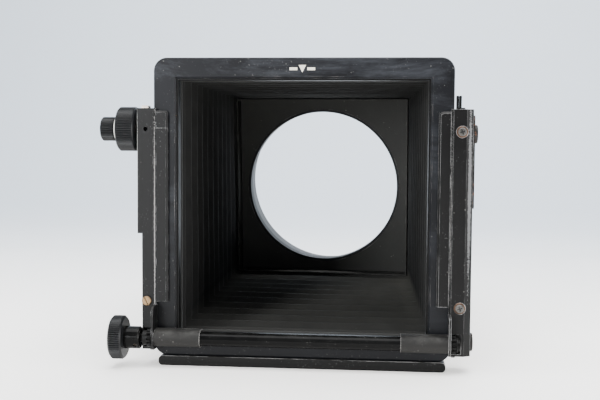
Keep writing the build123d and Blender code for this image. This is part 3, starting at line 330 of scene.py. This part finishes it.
def worn_coat(name, coat, handled, bare, gloss, reach=0.0007, bareness=0.5, patchiness=60.0,
              hairlines=0.4, specks=0.4, film=0.15, bump=0.02, metal=0.6,
              cloud=12.0, dusty=(0.42, 0.41, 0.38, 1), smeared=0.0, shine=0.22, chips=()):
    """A coat with its dark and handled colours. Each mark, a chip, a painted highlight or a painted shade, is
    a place, a size, a stretch and a colour.
    """
    material = bpy.data.materials.new(name)
    material.use_nodes = True
    tree = material.node_tree
    shader = tree.nodes["Principled BSDF"]
    tone = place_group(tree, clouds, Size=cloud, Grain=1500.0)
    wear = place_group(tree, edge_wear_and_highlight, Reach=reach, Patchiness=patchiness, Bareness=bareness)["Mask"]
    hair = place_group(tree, scratches, Amount=hairlines)["Mask"]
    dirt = place_group(tree, dust, Specks=specks, Film=film)["Mask"]
    colour = colour_mix(tree, tone["Tone"], coat, handled)
    shader.inputs["Specular IOR Level"].default_value = shine
    haze = place_group(tree, smears, Amount=smeared)["Mask"]
    colour = colour_mix(tree, haze, colour, HAZE)
    colour = colour_mix(tree, calculate(tree, "MULTIPLY", hair, 0.35), colour, bare)
    colour = colour_mix(tree, wear, colour, bare)
    # Marks at chosen places: chips of paint, and lines and patches of painted highlight and painted shade.
    for place, size, stretch, shade in chips:
        flake_and_painted_light = place_group(tree, chip, Place=place, Size=size, Stretch=stretch)["Mask"]
        colour = colour_mix(tree, flake_and_painted_light, colour, shade)
    colour = colour_mix(tree, dirt, colour, dusty)
    tree.links.new(colour, shader.inputs["Base Color"])
    rough = spread(tree, tone["Tone"], 0.0, 1.0, gloss - 0.07, gloss + 0.07)
    rough = calculate(tree, "ADD", rough, calculate(tree, "MULTIPLY", dirt, 0.5), clamp=True)
    rough = calculate(tree, "ADD", rough, calculate(tree, "MULTIPLY", haze, 0.25), clamp=True)
    tree.links.new(rough, shader.inputs["Roughness"])
    tree.links.new(calculate(tree, "MULTIPLY", wear, metal), shader.inputs["Metallic"])
    relief = add_node(tree, "Bump", Strength=1.0, Distance=bump * MILLIMETRE, Height=tone["Height"])
    tree.links.new(relief.outputs[0], shader.inputs["Normal"])
    return material


def paint(material, *names):
    """Gives CAD pieces a material in place of the one they came with."""
    for name in names:
        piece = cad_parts[name]
        if not piece.material_slots:
            piece.data.materials.append(None)
        for slot in piece.material_slots:
            slot.link = "OBJECT"
            slot.material = material


print("haze colour:", HAZE)

# %% [markdown]
# ## Enamel of the front frame
# The front frame is black stove enamel with a blue cast, smeared and scratched, chipped at its
# opening, with painted shade down the left inner wall of the opening. It could share one finish with
# the rear frame, but the rear one was sheltered and is hardly worn, so it has quieter numbers of its own.

# %% Enamel of the front frame
enamel = worn_coat(
    "black enamel", coat=(0.003, 0.0032, 0.0038, 1), handled=(0.0065, 0.007, 0.009, 1),
    bare=(0.30, 0.29, 0.28, 1), gloss=0.40, reach=0.0006, bareness=0.44, hairlines=0.6, specks=0.4,
    film=0.10, cloud=9.0, smeared=0.40, shine=0.12,
    chips=(
        ((-0.0755, -0.0068, 0.152), 0.0011, (1, 1, 1.6), (0.42, 0.17, 0.05, 1)),
        ((-0.0755, -0.0068, 0.118), 0.0008, (0.8, 1, 3.0), (0.45, 0.45, 0.44, 1)),
        ((0.0760, -0.0068, 0.0195), 0.0016, (1, 1, 1), (0.70, 0.69, 0.66, 1)),
        # This near-black streak down the left inner wall of the opening is painted shade.
        ((-0.0765, 0.0010, 0.0980), 0.0030, (0.6, 2.4, 40.0), (0.0012, 0.0012, 0.0014, 1)),
    ),
)
paint(enamel, "front_frame")
print("painted", enamel.name)

# %% [markdown]
# ## The rear frame, its board and the rear liner
# The rear frame, the lens board in it and the strip that holds the cloth there are satin black and
# show little wear. The board is a little greyer, since it was painted and not enamelled.

# %% Sheltered enamel and the board
sheltered_enamel = worn_coat(
    "sheltered enamel", coat=(0.004, 0.0042, 0.0046, 1), handled=(0.008, 0.0083, 0.0095, 1),
    bare=(0.06, 0.06, 0.06, 1), gloss=0.45, reach=0.0005, bareness=0.40, hairlines=0.3, specks=0.3,
    film=0.10, cloud=9.0, smeared=0.15, shine=0.10,
)
paint(sheltered_enamel, "rear_frame")
board_black = worn_coat(
    "satin black board", coat=(0.036, 0.036, 0.033, 1), handled=(0.058, 0.058, 0.054, 1),
    bare=(0.30, 0.29, 0.28, 1), gloss=0.50, reach=0.0006, bareness=0.42, hairlines=0.3, specks=0.5,
    film=0.2,
)
paint(board_black, "lens_board", "bellows_rear_liner")
print("painted", sheltered_enamel.name, "and", board_black.name)

# %% [markdown]
# ## Anodised uprights, strips and bars
# The uprights are milled from aluminium and anodised black, and their bevels have rubbed through to
# the metal. The right side takes a darker copy of the finish, as painted shade, so there are two
# finishes. The bright lines on the bevels are chips drawn out lengthwise, wear and painted highlight
# together: wear masks alone come out patchy.

# %% Anodised uprights, strips and bars
anodised = worn_coat(
    "black anodising", coat=(0.0035, 0.0035, 0.0036, 1), handled=(0.0068, 0.0068, 0.0070, 1),
    bare=(0.34, 0.34, 0.34, 1), gloss=0.46, reach=0.0005, bareness=0.47, patchiness=110.0,
    hairlines=0.5, specks=0.08, film=0.10, shine=0.14,
    chips=(
        # These two long lines paint the highlights along the bevels of the left upright, over their wear.
        ((-0.0886, -0.0108, 0.083), 0.00038, (1.0, 1.0, 170.0), (0.24, 0.235, 0.23, 1)),
        ((-0.0990, -0.0113, 0.118), 0.00020, (1.0, 1.0, 170.0), (0.22, 0.22, 0.21, 1)),
        ((-0.0932, -0.0113, 0.1432), 0.0003, (1.0, 1.0, 0.8), (0.30, 0.29, 0.28, 1)),
    ),
)
paint(
    anodised, "left_upright", "left_guide_strip", "left_strip_end", "left_gib", "left_bracket", "rear_foot",
)
print("painted", anodised.name)

# %% [markdown]
# ## Painted shade on the right side
# The right upright, its strip and the base bar take a darker copy of the anodising, as painted shade,
# with more bare metal at the edges.
# The stop post, the racks, the pinions and the small pieces on the shaft are blacked and oiled, so
# they stay dark.

# %% Right side and oiled steel
anodised_with_painted_shade = worn_coat(
    "black anodising with painted shade", coat=(0.002, 0.002, 0.002, 1), handled=(0.0042, 0.0042, 0.0042, 1),
    bare=(0.34, 0.34, 0.34, 1), gloss=0.42, reach=0.0006, bareness=0.55, patchiness=90.0,
    hairlines=0.5, specks=0.25, film=0.10, shine=0.13,
    chips=(
        # These two long lines paint the highlights along the bevels of the right upright, over their wear.
        ((0.0993, -0.0103, 0.108), 0.00095, (1.1, 1.0, 50.0), (0.11, 0.11, 0.112, 1)),
        ((0.0885, -0.0108, 0.095), 0.00028, (1.0, 1.0, 200.0), (0.12, 0.117, 0.114, 1)),
    ),
)
paint(anodised_with_painted_shade, "right_upright", "right_guide_strip", "right_gib", "right_bracket", "base_bar")
oily_black = worn_coat(
    "oily black", coat=(0.0025, 0.0025, 0.0025, 1), handled=(0.006, 0.006, 0.006, 1),
    bare=(0.06, 0.06, 0.06, 1), gloss=0.42, reach=0.0003, bareness=0.38, hairlines=0.2, specks=0.1,
    film=0.05, shine=0.10,
)
paint(
    oily_black, "stop_post", "bellows_front_liner", "left_rack", "right_rack", "left_pinion", "right_pinion",
    "shaft_sleeve", "shaft_end_clip",
)
print("painted", anodised_with_painted_shade.name, "and", oily_black.name)

# %% [markdown]
# ## Worn covers and the ring
# The two half-round covers of the shaft are matt black and have gone grey with rubbing. The ring
# behind the lens board is a smoother satin black. Both follow the same recipe, the covers with more
# wear and a stronger grain.

# %% Worn matt covers of the cross shaft, and the ring
matt_grey = worn_coat(
    "worn matt black", coat=(0.0042, 0.0040, 0.0037, 1), handled=(0.0115, 0.0110, 0.0102, 1),
    bare=(0.33, 0.32, 0.31, 1), gloss=0.62, reach=0.0006, bareness=0.58, patchiness=150.0,
    hairlines=0.7, specks=0.5, film=0.12, cloud=40.0, bump=0.05,
)
paint(matt_grey, "left_shaft_cover", "right_shaft_cover")
ring_black = worn_coat(
    "satin black ring", coat=(0.020, 0.020, 0.021, 1), handled=(0.030, 0.030, 0.031, 1),
    bare=(0.35, 0.35, 0.35, 1), gloss=0.52, reach=0.0006, bareness=0.42, film=0.1,
)
paint(ring_black, "lens_ring")
print("painted", matt_grey.name, "and", ring_black.name)

# %% [markdown]
# ## Knobs, hub and shaft
# The knobs are black with a slight sheen on their knurls, which the CAD gives as real ridges. The
# shaft, its hub and the small dark screws are polished, so their roughness is low.

# %% Knobs, hub and shaft
knob_black = worn_coat(
    "knob black", coat=(0.0035, 0.0037, 0.0043, 1), handled=(0.0075, 0.0080, 0.0088, 1),
    bare=(0.26, 0.26, 0.26, 1), gloss=0.40, reach=0.0003, bareness=0.30, patchiness=220.0, film=0.0,
    cloud=25.0, hairlines=0.1, specks=0.1, shine=0.20,
)
paint(knob_black, "drive_knob", "clamp_knob", "lock_knob")
shaft_black = worn_coat(
    "polished black", coat=(0.0025, 0.0025, 0.0025, 1), handled=(0.006, 0.006, 0.006, 1),
    bare=(0.30, 0.29, 0.28, 1), gloss=0.14, reach=0.0004, bareness=0.42, hairlines=0.4, film=0.02,
    bump=0.002, shine=0.05,
)
paint(shaft_black, "cross_shaft", "knob_hub", "clamp_bush", "base_bar_screws", "gib_screws", "foot_screws")
print("painted", knob_black.name, "and", shaft_black.name)

# %% [markdown]
# ## Bare metals
# Most screws are plated, a few fittings are brass or copper, and the small steel pieces have begun
# to rust. Bare metal is fully metallic, and its tarnish is a darker, rougher skin that a broad
# noise lets through in patches.

# %% The recipe for bare metal
RUST = (0.16, 0.055, 0.02, 1)
GREY_DUST = (0.3, 0.29, 0.27, 1)
TARNISH_RELIEF = 0.00002


def bare_metal(name, bright, tarnish, gloss, rust=0.0):
    """Bare metal that is bright in some patches and tarnished in others. Rust goes from 0 to 1."""
    material = bpy.data.materials.new(name)
    material.use_nodes = True
    tree = material.node_tree
    shader = tree.nodes["Principled BSDF"]
    tone = place_group(tree, clouds, Size=60.0, Grain=2500.0)
    dirt = place_group(tree, dust, Specks=0.3, Film=0.15)["Mask"]
    hair = place_group(tree, scratches, Amount=0.6)["Mask"]
    colour = colour_mix(tree, tone["Tone"], tarnish, bright)
    colour = colour_mix(tree, calculate(tree, "MULTIPLY", hair, 0.4), colour, bright)
    here = add_node(tree, "TexCoord").outputs["Object"]
    spots = add_node(tree, "TexNoise", Vector=here, Scale=260.0, Detail=4.0, Roughness=0.7).outputs[0]
    rusty = calculate(tree, "MULTIPLY", spread(tree, spots, 0.58, 0.66), rust)
    colour = colour_mix(tree, rusty, colour, RUST)
    colour = colour_mix(tree, dirt, colour, GREY_DUST)
    tree.links.new(colour, shader.inputs["Base Color"])
    dull = calculate(tree, "MAXIMUM", rusty, dirt)
    tree.links.new(calculate(tree, "SUBTRACT", 1.0, dull, clamp=True), shader.inputs["Metallic"])
    rough = spread(tree, tone["Tone"], 0.0, 1.0, gloss + 0.15, gloss)
    rough = calculate(tree, "ADD", rough, calculate(tree, "MULTIPLY", dull, 0.5), clamp=True)
    tree.links.new(rough, shader.inputs["Roughness"])
    relief = add_node(tree, "Bump", Strength=1.0, Distance=TARNISH_RELIEF, Height=tone["Height"])
    tree.links.new(relief.outputs[0], shader.inputs["Normal"])
    return material


print("rust colour:", RUST)

# %% [markdown]
# ## Brass, copper, plating and rust
# The slotted screw is aged brass, the cups under the cross-head screws are brown copper, most other
# screws are plated and the strap on the side has rusted. The two cross-head screws are painted by the
# coat recipe instead, because it can paint shade into the cross in each head.

# %% Brass, plating and rusty steel
aged_brass = bare_metal("aged brass", (0.30, 0.20, 0.11, 1), (0.09, 0.055, 0.03, 1), 0.36)
paint(aged_brass, "slotted_screw", "clamp_shoe")
copper = bare_metal("brown copper", (0.12, 0.072, 0.050, 1), (0.045, 0.03, 0.022, 1), 0.38)
paint(copper, "cup_washers")
SCREW_HEIGHTS = (0.0392, 0.1432)
cross_head = worn_coat(
    "dull cross head", coat=(0.020, 0.019, 0.017, 1), handled=(0.060, 0.056, 0.050, 1),
    bare=(0.24, 0.23, 0.21, 1), gloss=0.38, reach=0.0003, bareness=0.6, cloud=300.0, specks=0.1,
    film=0.1, shine=0.5,
    # Near-black marks paint the shade in the recessed cross of each screw head.
    chips=tuple(
        ((0.0944, -0.01215, height), 0.0006, (3.2, 0.6, 3.2), (0.0015, 0.0015, 0.0015, 1))
        for height in SCREW_HEIGHTS
    ),
)
paint(cross_head, "cross_head_screws")
plated = bare_metal("worn plating", (0.50, 0.46, 0.42, 1), (0.16, 0.11, 0.08, 1), 0.30, rust=0.3)
paint(
    plated, "stop_stub", "rack_screws", "hub_set_screw", "clamp_spindle", "lock_screw", "ring_screws",
    "latch_screws", "ledge_screws",
)
rusty_steel = bare_metal(
    "rusty dark steel", (0.035, 0.034, 0.033, 1), (0.012, 0.0115, 0.011, 1), 0.46, rust=0.8,
)
paint(rusty_steel, "side_strap", "upper_side_screw", "lower_side_screw", "board_latch", "board_ledge")
print("painted", aged_brass.name, copper.name, cross_head.name, plated.name, rusty_steel.name)

# %% [markdown]
# ## Cream and white
# The centre mark is filled with cream paint, and a nylon washer lies between the two clamp knobs. Both
# are the coat recipe without metal under it.

# %% Cream fill of the centre mark, and the white washer
cream = worn_coat(
    "cream fill", coat=(0.62, 0.59, 0.50, 1), handled=(0.72, 0.69, 0.60, 1), bare=(0.2, 0.19, 0.17, 1),
    gloss=0.55, reach=0.0002, bareness=0.35, metal=0.0, specks=0.2, film=0.0,
    dusty=(0.25, 0.24, 0.2, 1),
)
paint(cream, "centre_mark")
nylon = worn_coat(
    "off-white nylon", coat=(0.62, 0.61, 0.57, 1), handled=(0.70, 0.69, 0.66, 1), bare=(0.5, 0.48, 0.44, 1),
    gloss=0.45, reach=0.0002, bareness=0.3, metal=0.0, specks=0.1, film=0.1,
)
paint(nylon, "lock_washer")
print("painted", cream.name, "and", nylon.name)

# %% [markdown]
# ## The bellows
# The bellows is cloth glued over stiff card strips and folded like an accordion. Each fold runs
# round all four sides and is mitred at the corners. It could be modelled flat and folded by a
# simulation, but the folds are regular, so it is quicker to grow it ring by ring: a square
# outline is extruded along the camera, and each new ring is made larger or smaller in turn. The
# rings also turn from the upright front frame to the swung and tilted rear one.

# %% Measure the space for the bellows
CUFF_START = 0.0017              # where the cuff begins, just behind the front frame's face
BOARD_MIDDLE = (-0.0035, 0.249, 0.099)
BOARD_GAP = 0.0085               # from the end of the cloth to the lens board
cloth_low, cloth_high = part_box("bellows")
frame_low, frame_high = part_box("front_frame")
front_middle = Vector((0, CUFF_START, (frame_low.z + frame_high.z) / 2))
swing, tilt = math.radians(4.5), math.radians(3.6)
rear_axis = Vector((math.sin(swing) * math.cos(tilt), math.cos(swing) * math.cos(tilt), math.sin(tilt)))
rear_right = Vector((math.cos(swing), -math.sin(swing), 0))
rear_up = rear_right.cross(rear_axis)
rear_middle = Vector(BOARD_MIDDLE) - rear_axis * BOARD_GAP
rear_turn = Matrix((rear_right, rear_axis, rear_up)).transposed().to_quaternion()
print("stand-in from", round(cloth_low.y, 4), "to", round(cloth_high.y, 4))
print("bellows from", CUFF_START, "to", tuple(round(v, 4) for v in rear_middle))

# %% [markdown]
# ## The sizes of the folds
# The folds repeat at one pitch and one depth. The cloth starts with a straight cuff that is glued in
# the front frame, and it narrows a little towards the rear. A matrix gives the place of any ring: a
# square of side 2 is moved, turned and stretched to the fold line.

# %% Grow the folds
FIRST_RIDGE = 0.0219             # the first inward fold, measured along Y
PITCH = 0.0202                   # from one inward fold to the next
RIDGES = 11
FOLD_DEPTH = 0.0072
CUFF_INSET = 0.0014              # the cuff is glued inside the front frame's opening
CUFF_END, FIRST_FOLD = 0.0076, 0.0134
CLOTH = 0.0008
POINTS_PER_SIDE = 12
INNER_WIDTH, INNER_HEIGHT, TAPER = 0.1541, 0.1576, 0.006
cloth_length = rear_middle.y - CUFF_START


def ring_place(along, outward):
    """Matrix that takes a flat square of side 2 to the fold line at this share of the length."""
    middle = front_middle.lerp(rear_middle, along)
    turn = Matrix.Identity(3).to_quaternion().slerp(rear_turn, along).to_matrix().to_4x4()
    half_width = (INNER_WIDTH - TAPER * along) / 2 + outward
    half_height = (INNER_HEIGHT - TAPER * along) / 2 + outward
    return Matrix.Translation(middle) @ turn @ Matrix.Diagonal((half_width, 1, half_height, 1))


bellows_mesh = bmesh.new()
bmesh.ops.create_circle(bellows_mesh, segments=4, radius=math.sqrt(2))
bmesh.ops.rotate(bellows_mesh, verts=bellows_mesh.verts, matrix=Matrix.Rotation(math.radians(45), 3, "Z"))
bmesh.ops.rotate(bellows_mesh, verts=bellows_mesh.verts, matrix=Matrix.Rotation(math.radians(90), 3, "X"))
bmesh.ops.subdivide_edges(bellows_mesh, edges=bellows_mesh.edges[:], cuts=POINTS_PER_SIDE - 1)
around = bellows_mesh.verts.layers.float.new("around")
lengthwise = bellows_mesh.verts.layers.float.new("lengthwise")
for vert in bellows_mesh.verts:
    vert[around] = (math.atan2(vert.co.z, vert.co.x) / (2 * math.pi)) % 1.0
print("points round one ring:", len(bellows_mesh.verts))

# %% [markdown]
# ## One ring after another
# Each new ring is extruded from the last and moved to its own place, outwards for a valley and inwards
# for a ridge. The distance along the cloth is stored in the points while they are made, since it
# can't be measured afterwards without following the folds again.

# %% One ring after another
stations = [
    (CUFF_START, -CUFF_INSET), (CUFF_END, -CUFF_INSET), (FIRST_FOLD, FOLD_DEPTH), (FIRST_RIDGE, 0.0),
]
for ridge in range(1, RIDGES):
    ridge_place = FIRST_RIDGE + PITCH * ridge
    stations.append((ridge_place - PITCH / 2, FOLD_DEPTH))
    stations.append((ridge_place, 0.0))
stations.append(((stations[-1][0] + rear_middle.y) / 2, FOLD_DEPTH))
stations.append((rear_middle.y, 0.0))
stations = [((y - CUFF_START) / cloth_length, outward) for y, outward in stations]

ring = bellows_mesh.edges[:]
place = ring_place(*stations[0])
bmesh.ops.transform(bellows_mesh, matrix=place, verts=bellows_mesh.verts)
run = 0.0
fold_lines = []
for before, station in zip(stations, stations[1:]):
    grown = bmesh.ops.extrude_edge_only(bellows_mesh, edges=ring)["geom"]
    new_points = [g for g in grown if isinstance(g, bmesh.types.BMVert)]
    ring = [g for g in grown if isinstance(g, bmesh.types.BMEdge) and all(v in new_points for v in g.verts)]
    next_place = ring_place(*station)
    bmesh.ops.transform(bellows_mesh, matrix=next_place @ place.inverted(), verts=new_points)
    run += math.hypot((station[0] - before[0]) * cloth_length, station[1] - before[1])
    for vert in new_points:
        vert[lengthwise] = run
    place = next_place
    fold_lines += ring
fold_lines = fold_lines[: -len(ring)]
print("rings:", len(stations), "folded length:", round(run, 3))

# %% [markdown]
# ## Loosen the folds
# Real folds are never quite straight. A slow wander moves whole stretches of a fold, and a quick one
# roughens its line. The two glued ends stay where they are. The noise is given a seed, because without
# one it would differ each time.

# %% Loosen the folds a little
noise.seed_set(11)
GLUED_FRONT, GLUED_REAR = 0.06, 0.97      # the cloth is free between these shares of its length
BROAD, FINE = 14.0, 60.0                  # how quickly the two wanders change
SIDEWAYS, ALONG, FINE_ALONG = 0.0006, 0.0012, 0.0003
ELSEWHERE = Vector((3.1, 0, 7.7))
for vert in bellows_mesh.verts:
    share = (vert.co.y - CUFF_START) / cloth_length
    if share < GLUED_FRONT or share > GLUED_REAR:
        continue
    wander = noise.noise_vector(vert.co * BROAD + ELSEWHERE)
    edge_wander = noise.noise_vector(vert.co * FINE)
    vert.co += Vector((wander.x * SIDEWAYS, wander.y * ALONG, wander.z * SIDEWAYS))
    vert.co.y += edge_wander.y * FINE_ALONG
print("folds wander by up to", ALONG + FINE_ALONG, "m")

# %% [markdown]
# ## A map for the weave, and soft creases
# The weave has to follow the cloth, so the map holds metres round and metres along it. A fold line in
# cloth over card is a small round, not a knife edge, so every fold is bevelled a little.

# %% Coordinates that follow the cloth, then soft fold lines
WIDTH_ON_MAP = 0.66              # metres round the cloth, so that the weave is as wide as it is long
CREASE = 0.0007
cloth_map = bellows_mesh.loops.layers.uv.new("cloth")
for face in bellows_mesh.faces:
    turns = [loop.vert[around] for loop in face.loops]
    for loop, turned in zip(face.loops, turns):
        across_seam = max(turns) - min(turns) > 0.5 and turned < 0.5
        loop[cloth_map].uv = ((turned + across_seam) * WIDTH_ON_MAP, loop.vert[lengthwise])
bmesh.ops.bevel(
    bellows_mesh, geom=fold_lines, offset=CREASE, segments=2, profile=0.5,
    affect="EDGES", material=-1, clamp_overlap=True,
)
bmesh.ops.recalc_face_normals(bellows_mesh, faces=bellows_mesh.faces)
bellows_data = bpy.data.meshes.new("folded_bellows")
bellows_mesh.to_mesh(bellows_data)
bellows_mesh.free()
for polygon in bellows_data.polygons:
    polygon.use_smooth = True
folded_bellows = bpy.data.objects.new("folded_bellows", bellows_data)
bpy.context.scene.collection.objects.link(folded_bellows)
print("bellows faces:", len(bellows_data.polygons))

# %% [markdown]
# ## Thickness
# The cloth with its card is about a millimetre thick. A solidify modifier, made real at once, gives
# both skins and the cut edges.

# %% Give the cloth its thickness
thick = folded_bellows.modifiers.new("thickness", "SOLIDIFY")
thick.thickness = CLOTH
thick.offset = 0.0
bpy.context.view_layer.update()
evaluated = folded_bellows.evaluated_get(bpy.context.evaluated_depsgraph_get())
thick_data = bpy.data.meshes.new_from_object(evaluated)
folded_bellows.modifiers.clear()
folded_bellows.data = thick_data
print("with thickness:", len(thick_data.polygons), "faces")

# %% [markdown]
# ## Bellows cloth
# The cloth is matt black with a very fine weave. Its fold lines are lighter, rubbed and with a painted
# highlight, and the folds that face up are lighter too, as dust and painted light from above, most of
# all near the lens board. The outer side is a deeper black than the lining. The weave is drawn along
# the cloth's own map, so it stays in place on the folds when the bellows closes.

# %% Cloth material
cloth = bpy.data.materials.new("bellows cloth")
cloth.use_nodes = True
tree = cloth.node_tree
shader = tree.nodes["Principled BSDF"]
THREADS, WEAVE_RELIEF = 420.0, 0.00006
own_map = add_node(tree, "UVMap", {"uv_map": "cloth"}).outputs[0]
threads = [
    add_node(
        tree, "TexWave", {"wave_type": "BANDS", "bands_direction": way}, Vector=own_map, Scale=THREADS,
        Distortion=0.6,
    ).outputs["Fac"]
    for way in "XY"
]
weave = calculate(tree, "MULTIPLY", *threads)
mottle = add_node(tree, "TexNoise", Vector=own_map, Scale=55.0, Detail=6.0, Roughness=0.65).outputs[0]
blotch = spread(tree, mottle, 0.35, 0.7)
dark, rubbed = (0.0068, 0.0069, 0.0065, 1), (0.0122, 0.0122, 0.0115, 1)
colour = colour_mix(tree, blotch, dark, rubbed)
print("weave and tone of", cloth.name)

# %% [markdown]
# ## Rubbed and highlighted ridges, dust and painted light
# The ridges of the folds are rubbed lighter and carry a painted highlight. What faces up is lighter, as
# dust and painted light from above, more so towards the lens board. Whether a point is on the outer
# skin shows in its normal: there it points away from the middle line of the bellows.

# %% Wear, dust and the outer skin
# The ridges are rubbed lighter, and this mask also paints the highlight that they catch.
ridge_highlight_and_rub = place_group(tree, edge_wear_and_highlight, Reach=0.0012, Patchiness=45.0, Bareness=0.62)["Mask"]
colour = colour_mix(tree, calculate(tree, "MULTIPLY", ridge_highlight_and_rub, 0.75), colour, (0.055, 0.055, 0.052, 1))
facing = add_node(tree, "NewGeometry")
up_facing = add_node(tree, "SeparateXYZ", Vector=facing.outputs["Normal"]).outputs["Z"]
here = add_node(tree, "TexCoord").outputs["Object"]
# What faces up is lightened, as dust and painted light from above, more so towards the lens board.
deep = spread(tree, add_node(tree, "SeparateXYZ", Vector=here).outputs["Y"], 0.04, 0.20, 0.15, 0.95)
film = spread(tree, up_facing, 0.2, 0.85)
film = calculate(tree, "MULTIPLY", film, spread(tree, mottle, 0.3, 0.7, 0.75, 1.0))
colour = colour_mix(tree, calculate(tree, "MULTIPLY", film, deep), colour, (0.095, 0.092, 0.080, 1))
settled = place_group(tree, dust, Specks=0.3, Film=0.0)["Mask"]
colour = colour_mix(tree, settled, colour, (0.15, 0.145, 0.125, 1))
from_middle = add_node(tree, "VectorMath", {"operation": "SUBTRACT"}, in0=here, in1=tuple(front_middle))
off_axis = add_node(tree, "VectorMath", {"operation": "MULTIPLY"}, in0=from_middle.outputs[0], in1=(1, 0, 1))
outward = add_node(
    tree, "VectorMath", {"operation": "DOT_PRODUCT"}, in0=off_axis.outputs[0],
    in1=facing.outputs["Normal"],
)
outside = calculate(tree, "GREATER_THAN", outward.outputs["Value"], 0.0)
colour = colour_mix(tree, calculate(tree, "MULTIPLY", outside, 0.75), colour, (0.004, 0.004, 0.0042, 1))
tree.links.new(colour, shader.inputs["Base Color"])
shader.inputs["Roughness"].default_value = 0.80
shader.inputs["Specular IOR Level"].default_value = 0.25
shader.inputs["Sheen Weight"].default_value = 0.06
shader.inputs["Sheen Roughness"].default_value = 0.5
relief = add_node(tree, "Bump", Strength=0.6, Distance=WEAVE_RELIEF, Height=weave)
tree.links.new(relief.outputs[0], shader.inputs["Normal"])
folded_bellows.data.materials.clear()
folded_bellows.data.materials.append(cloth)
print("painted", cloth.name)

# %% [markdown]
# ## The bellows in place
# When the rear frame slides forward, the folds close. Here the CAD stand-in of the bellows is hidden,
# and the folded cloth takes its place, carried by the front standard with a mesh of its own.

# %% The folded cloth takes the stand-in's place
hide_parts("bellows")
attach(folded_bellows, "front_standard")
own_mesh(folded_bellows)

# %% [markdown]

# %% [markdown]
# ## The studio
# A pale floor sweeps up into a pale wall, so no line shows behind the object. Large soft lamps
# above and at both sides give the black pieces their broad, quiet reflections.

# %% Floor and sweep
HALF_WIDTH, HALF_DEPTH, FORWARD = 3.0, 1.9, -0.1
WALL_RISE = (0, 0.05, 2.6)
SWEEP_RADIUS = 0.9
sweep_mesh = bmesh.new()
bmesh.ops.create_grid(sweep_mesh, x_segments=1, y_segments=1, size=1.0)
bmesh.ops.scale(sweep_mesh, vec=(HALF_WIDTH, HALF_DEPTH, 1), verts=sweep_mesh.verts)
bmesh.ops.translate(sweep_mesh, vec=(0, FORWARD, 0), verts=sweep_mesh.verts)
back_edge = max(sweep_mesh.edges, key=lambda e: sum(v.co.y for v in e.verts))
wall = bmesh.ops.extrude_edge_only(sweep_mesh, edges=[back_edge])["geom"]
wall_top = [g for g in wall if isinstance(g, bmesh.types.BMVert)]
bmesh.ops.translate(sweep_mesh, vec=WALL_RISE, verts=wall_top)
bmesh.ops.bevel(
    sweep_mesh, geom=[back_edge], offset=SWEEP_RADIUS, segments=24, profile=0.5, affect="EDGES",
    material=-1, clamp_overlap=False,
)
sweep_data = bpy.data.meshes.new("studio_sweep")
sweep_mesh.to_mesh(sweep_data)
sweep_mesh.free()
for polygon in sweep_data.polygons:
    polygon.use_smooth = True
studio_sweep = bpy.data.objects.new("studio_sweep", sweep_data)
bpy.context.scene.collection.objects.link(studio_sweep)
print("sweep faces:", len(sweep_data.polygons))

# %% [markdown]
# ## Studio paper
# The paper is warm white near the object, and towards the far wall it is painted cooler and darker,
# as painted shade. A weak glow near the object stands for the light that a bright room throws back,
# so the floor there stays nearly white.

# %% Paper
paper = bpy.data.materials.new("studio paper")
paper.use_nodes = True
tree = paper.node_tree
shader = tree.nodes["Principled BSDF"]
here = add_node(tree, "TexCoord").outputs["Object"]
fibre = add_node(tree, "TexNoise", Vector=here, Scale=30.0, Detail=4.0).outputs[0]
depth = add_node(tree, "SeparateXYZ", Vector=here).outputs["Y"]
# Towards the far wall the paper is painted cooler and darker: painted shade.
far_painted_shade = spread(tree, depth, 0.10, 1.1)
shade = colour_mix(tree, far_painted_shade, (0.95, 0.94, 0.92, 1), (0.605, 0.662, 0.725, 1))
shade = colour_mix(tree, spread(tree, fibre, 0.4, 0.6, 0.0, 0.04), shade, (0.6, 0.6, 0.6, 1))
tree.links.new(shade, shader.inputs["Base Color"])
shader.inputs["Roughness"].default_value = 0.75
glow = colour_mix(tree, spread(tree, depth, 0.0, 0.6), (0.72, 0.69, 0.65, 1), (0.0, 0.0, 0.0, 1))
tree.links.new(glow, shader.inputs["Emission Color"])
shader.inputs["Emission Strength"].default_value = 1.0
sweep_data.materials.append(paper)
print("painted", paper.name)

# %% [markdown]
# ## Lamps
# One broad lamp from above makes most of the light. The lamp at the left and the small one in front
# give the knobs and bevels their highlights, the one at the right brings out the other side, and the
# last lights the wall behind.

# %% Lamps
def soft_lamp(name, place, aim, size, power, tint=(1, 1, 1)):
    """A rectangular lamp at one place that points at another. Its power is in watts."""
    lamp = bpy.data.lights.new(name, "AREA")
    lamp.shape = "RECTANGLE"
    lamp.size, lamp.size_y = size
    lamp.energy = power
    lamp.color = tint
    holder = bpy.data.objects.new(name, lamp)
    bpy.context.scene.collection.objects.link(holder)
    direction = Vector(aim) - Vector(place)
    holder.matrix_world = Matrix.Translation(place) @ direction.to_track_quat("-Z", "Y").to_matrix().to_4x4()


soft_lamp("lamp_above", (0.1, 0.0, 1.5), (0, 0.1, 0), (1.8, 1.4), 72)
soft_lamp("lamp_left", (-1.3, -0.5, 0.6), (0, 0.0, 0.1), (0.8, 1.1), 9, (0.95, 0.98, 1.0))
soft_lamp("lamp_front", (-0.7, -1.35, 0.36), (0, 0.15, 0.06), (0.4, 0.4), 20, (0.97, 0.99, 1.0))
soft_lamp("lamp_right", (1.5, -0.5, 0.2), (0, 0.0, 0.1), (0.9, 0.7), 22)
soft_lamp("lamp_wall", (0, 0.9, 1.7), (0, 1.7, 0.4), (2.4, 0.6), 30, (0.93, 0.97, 1.0))
sky = bpy.data.worlds.new("studio air")
sky.use_nodes = True
air = sky.node_tree.nodes["Background"]
air.inputs["Color"].default_value = (0.86, 0.91, 1.0, 1)
air.inputs["Strength"].default_value = 0.45
bpy.context.scene.world = sky
print("lamps set")
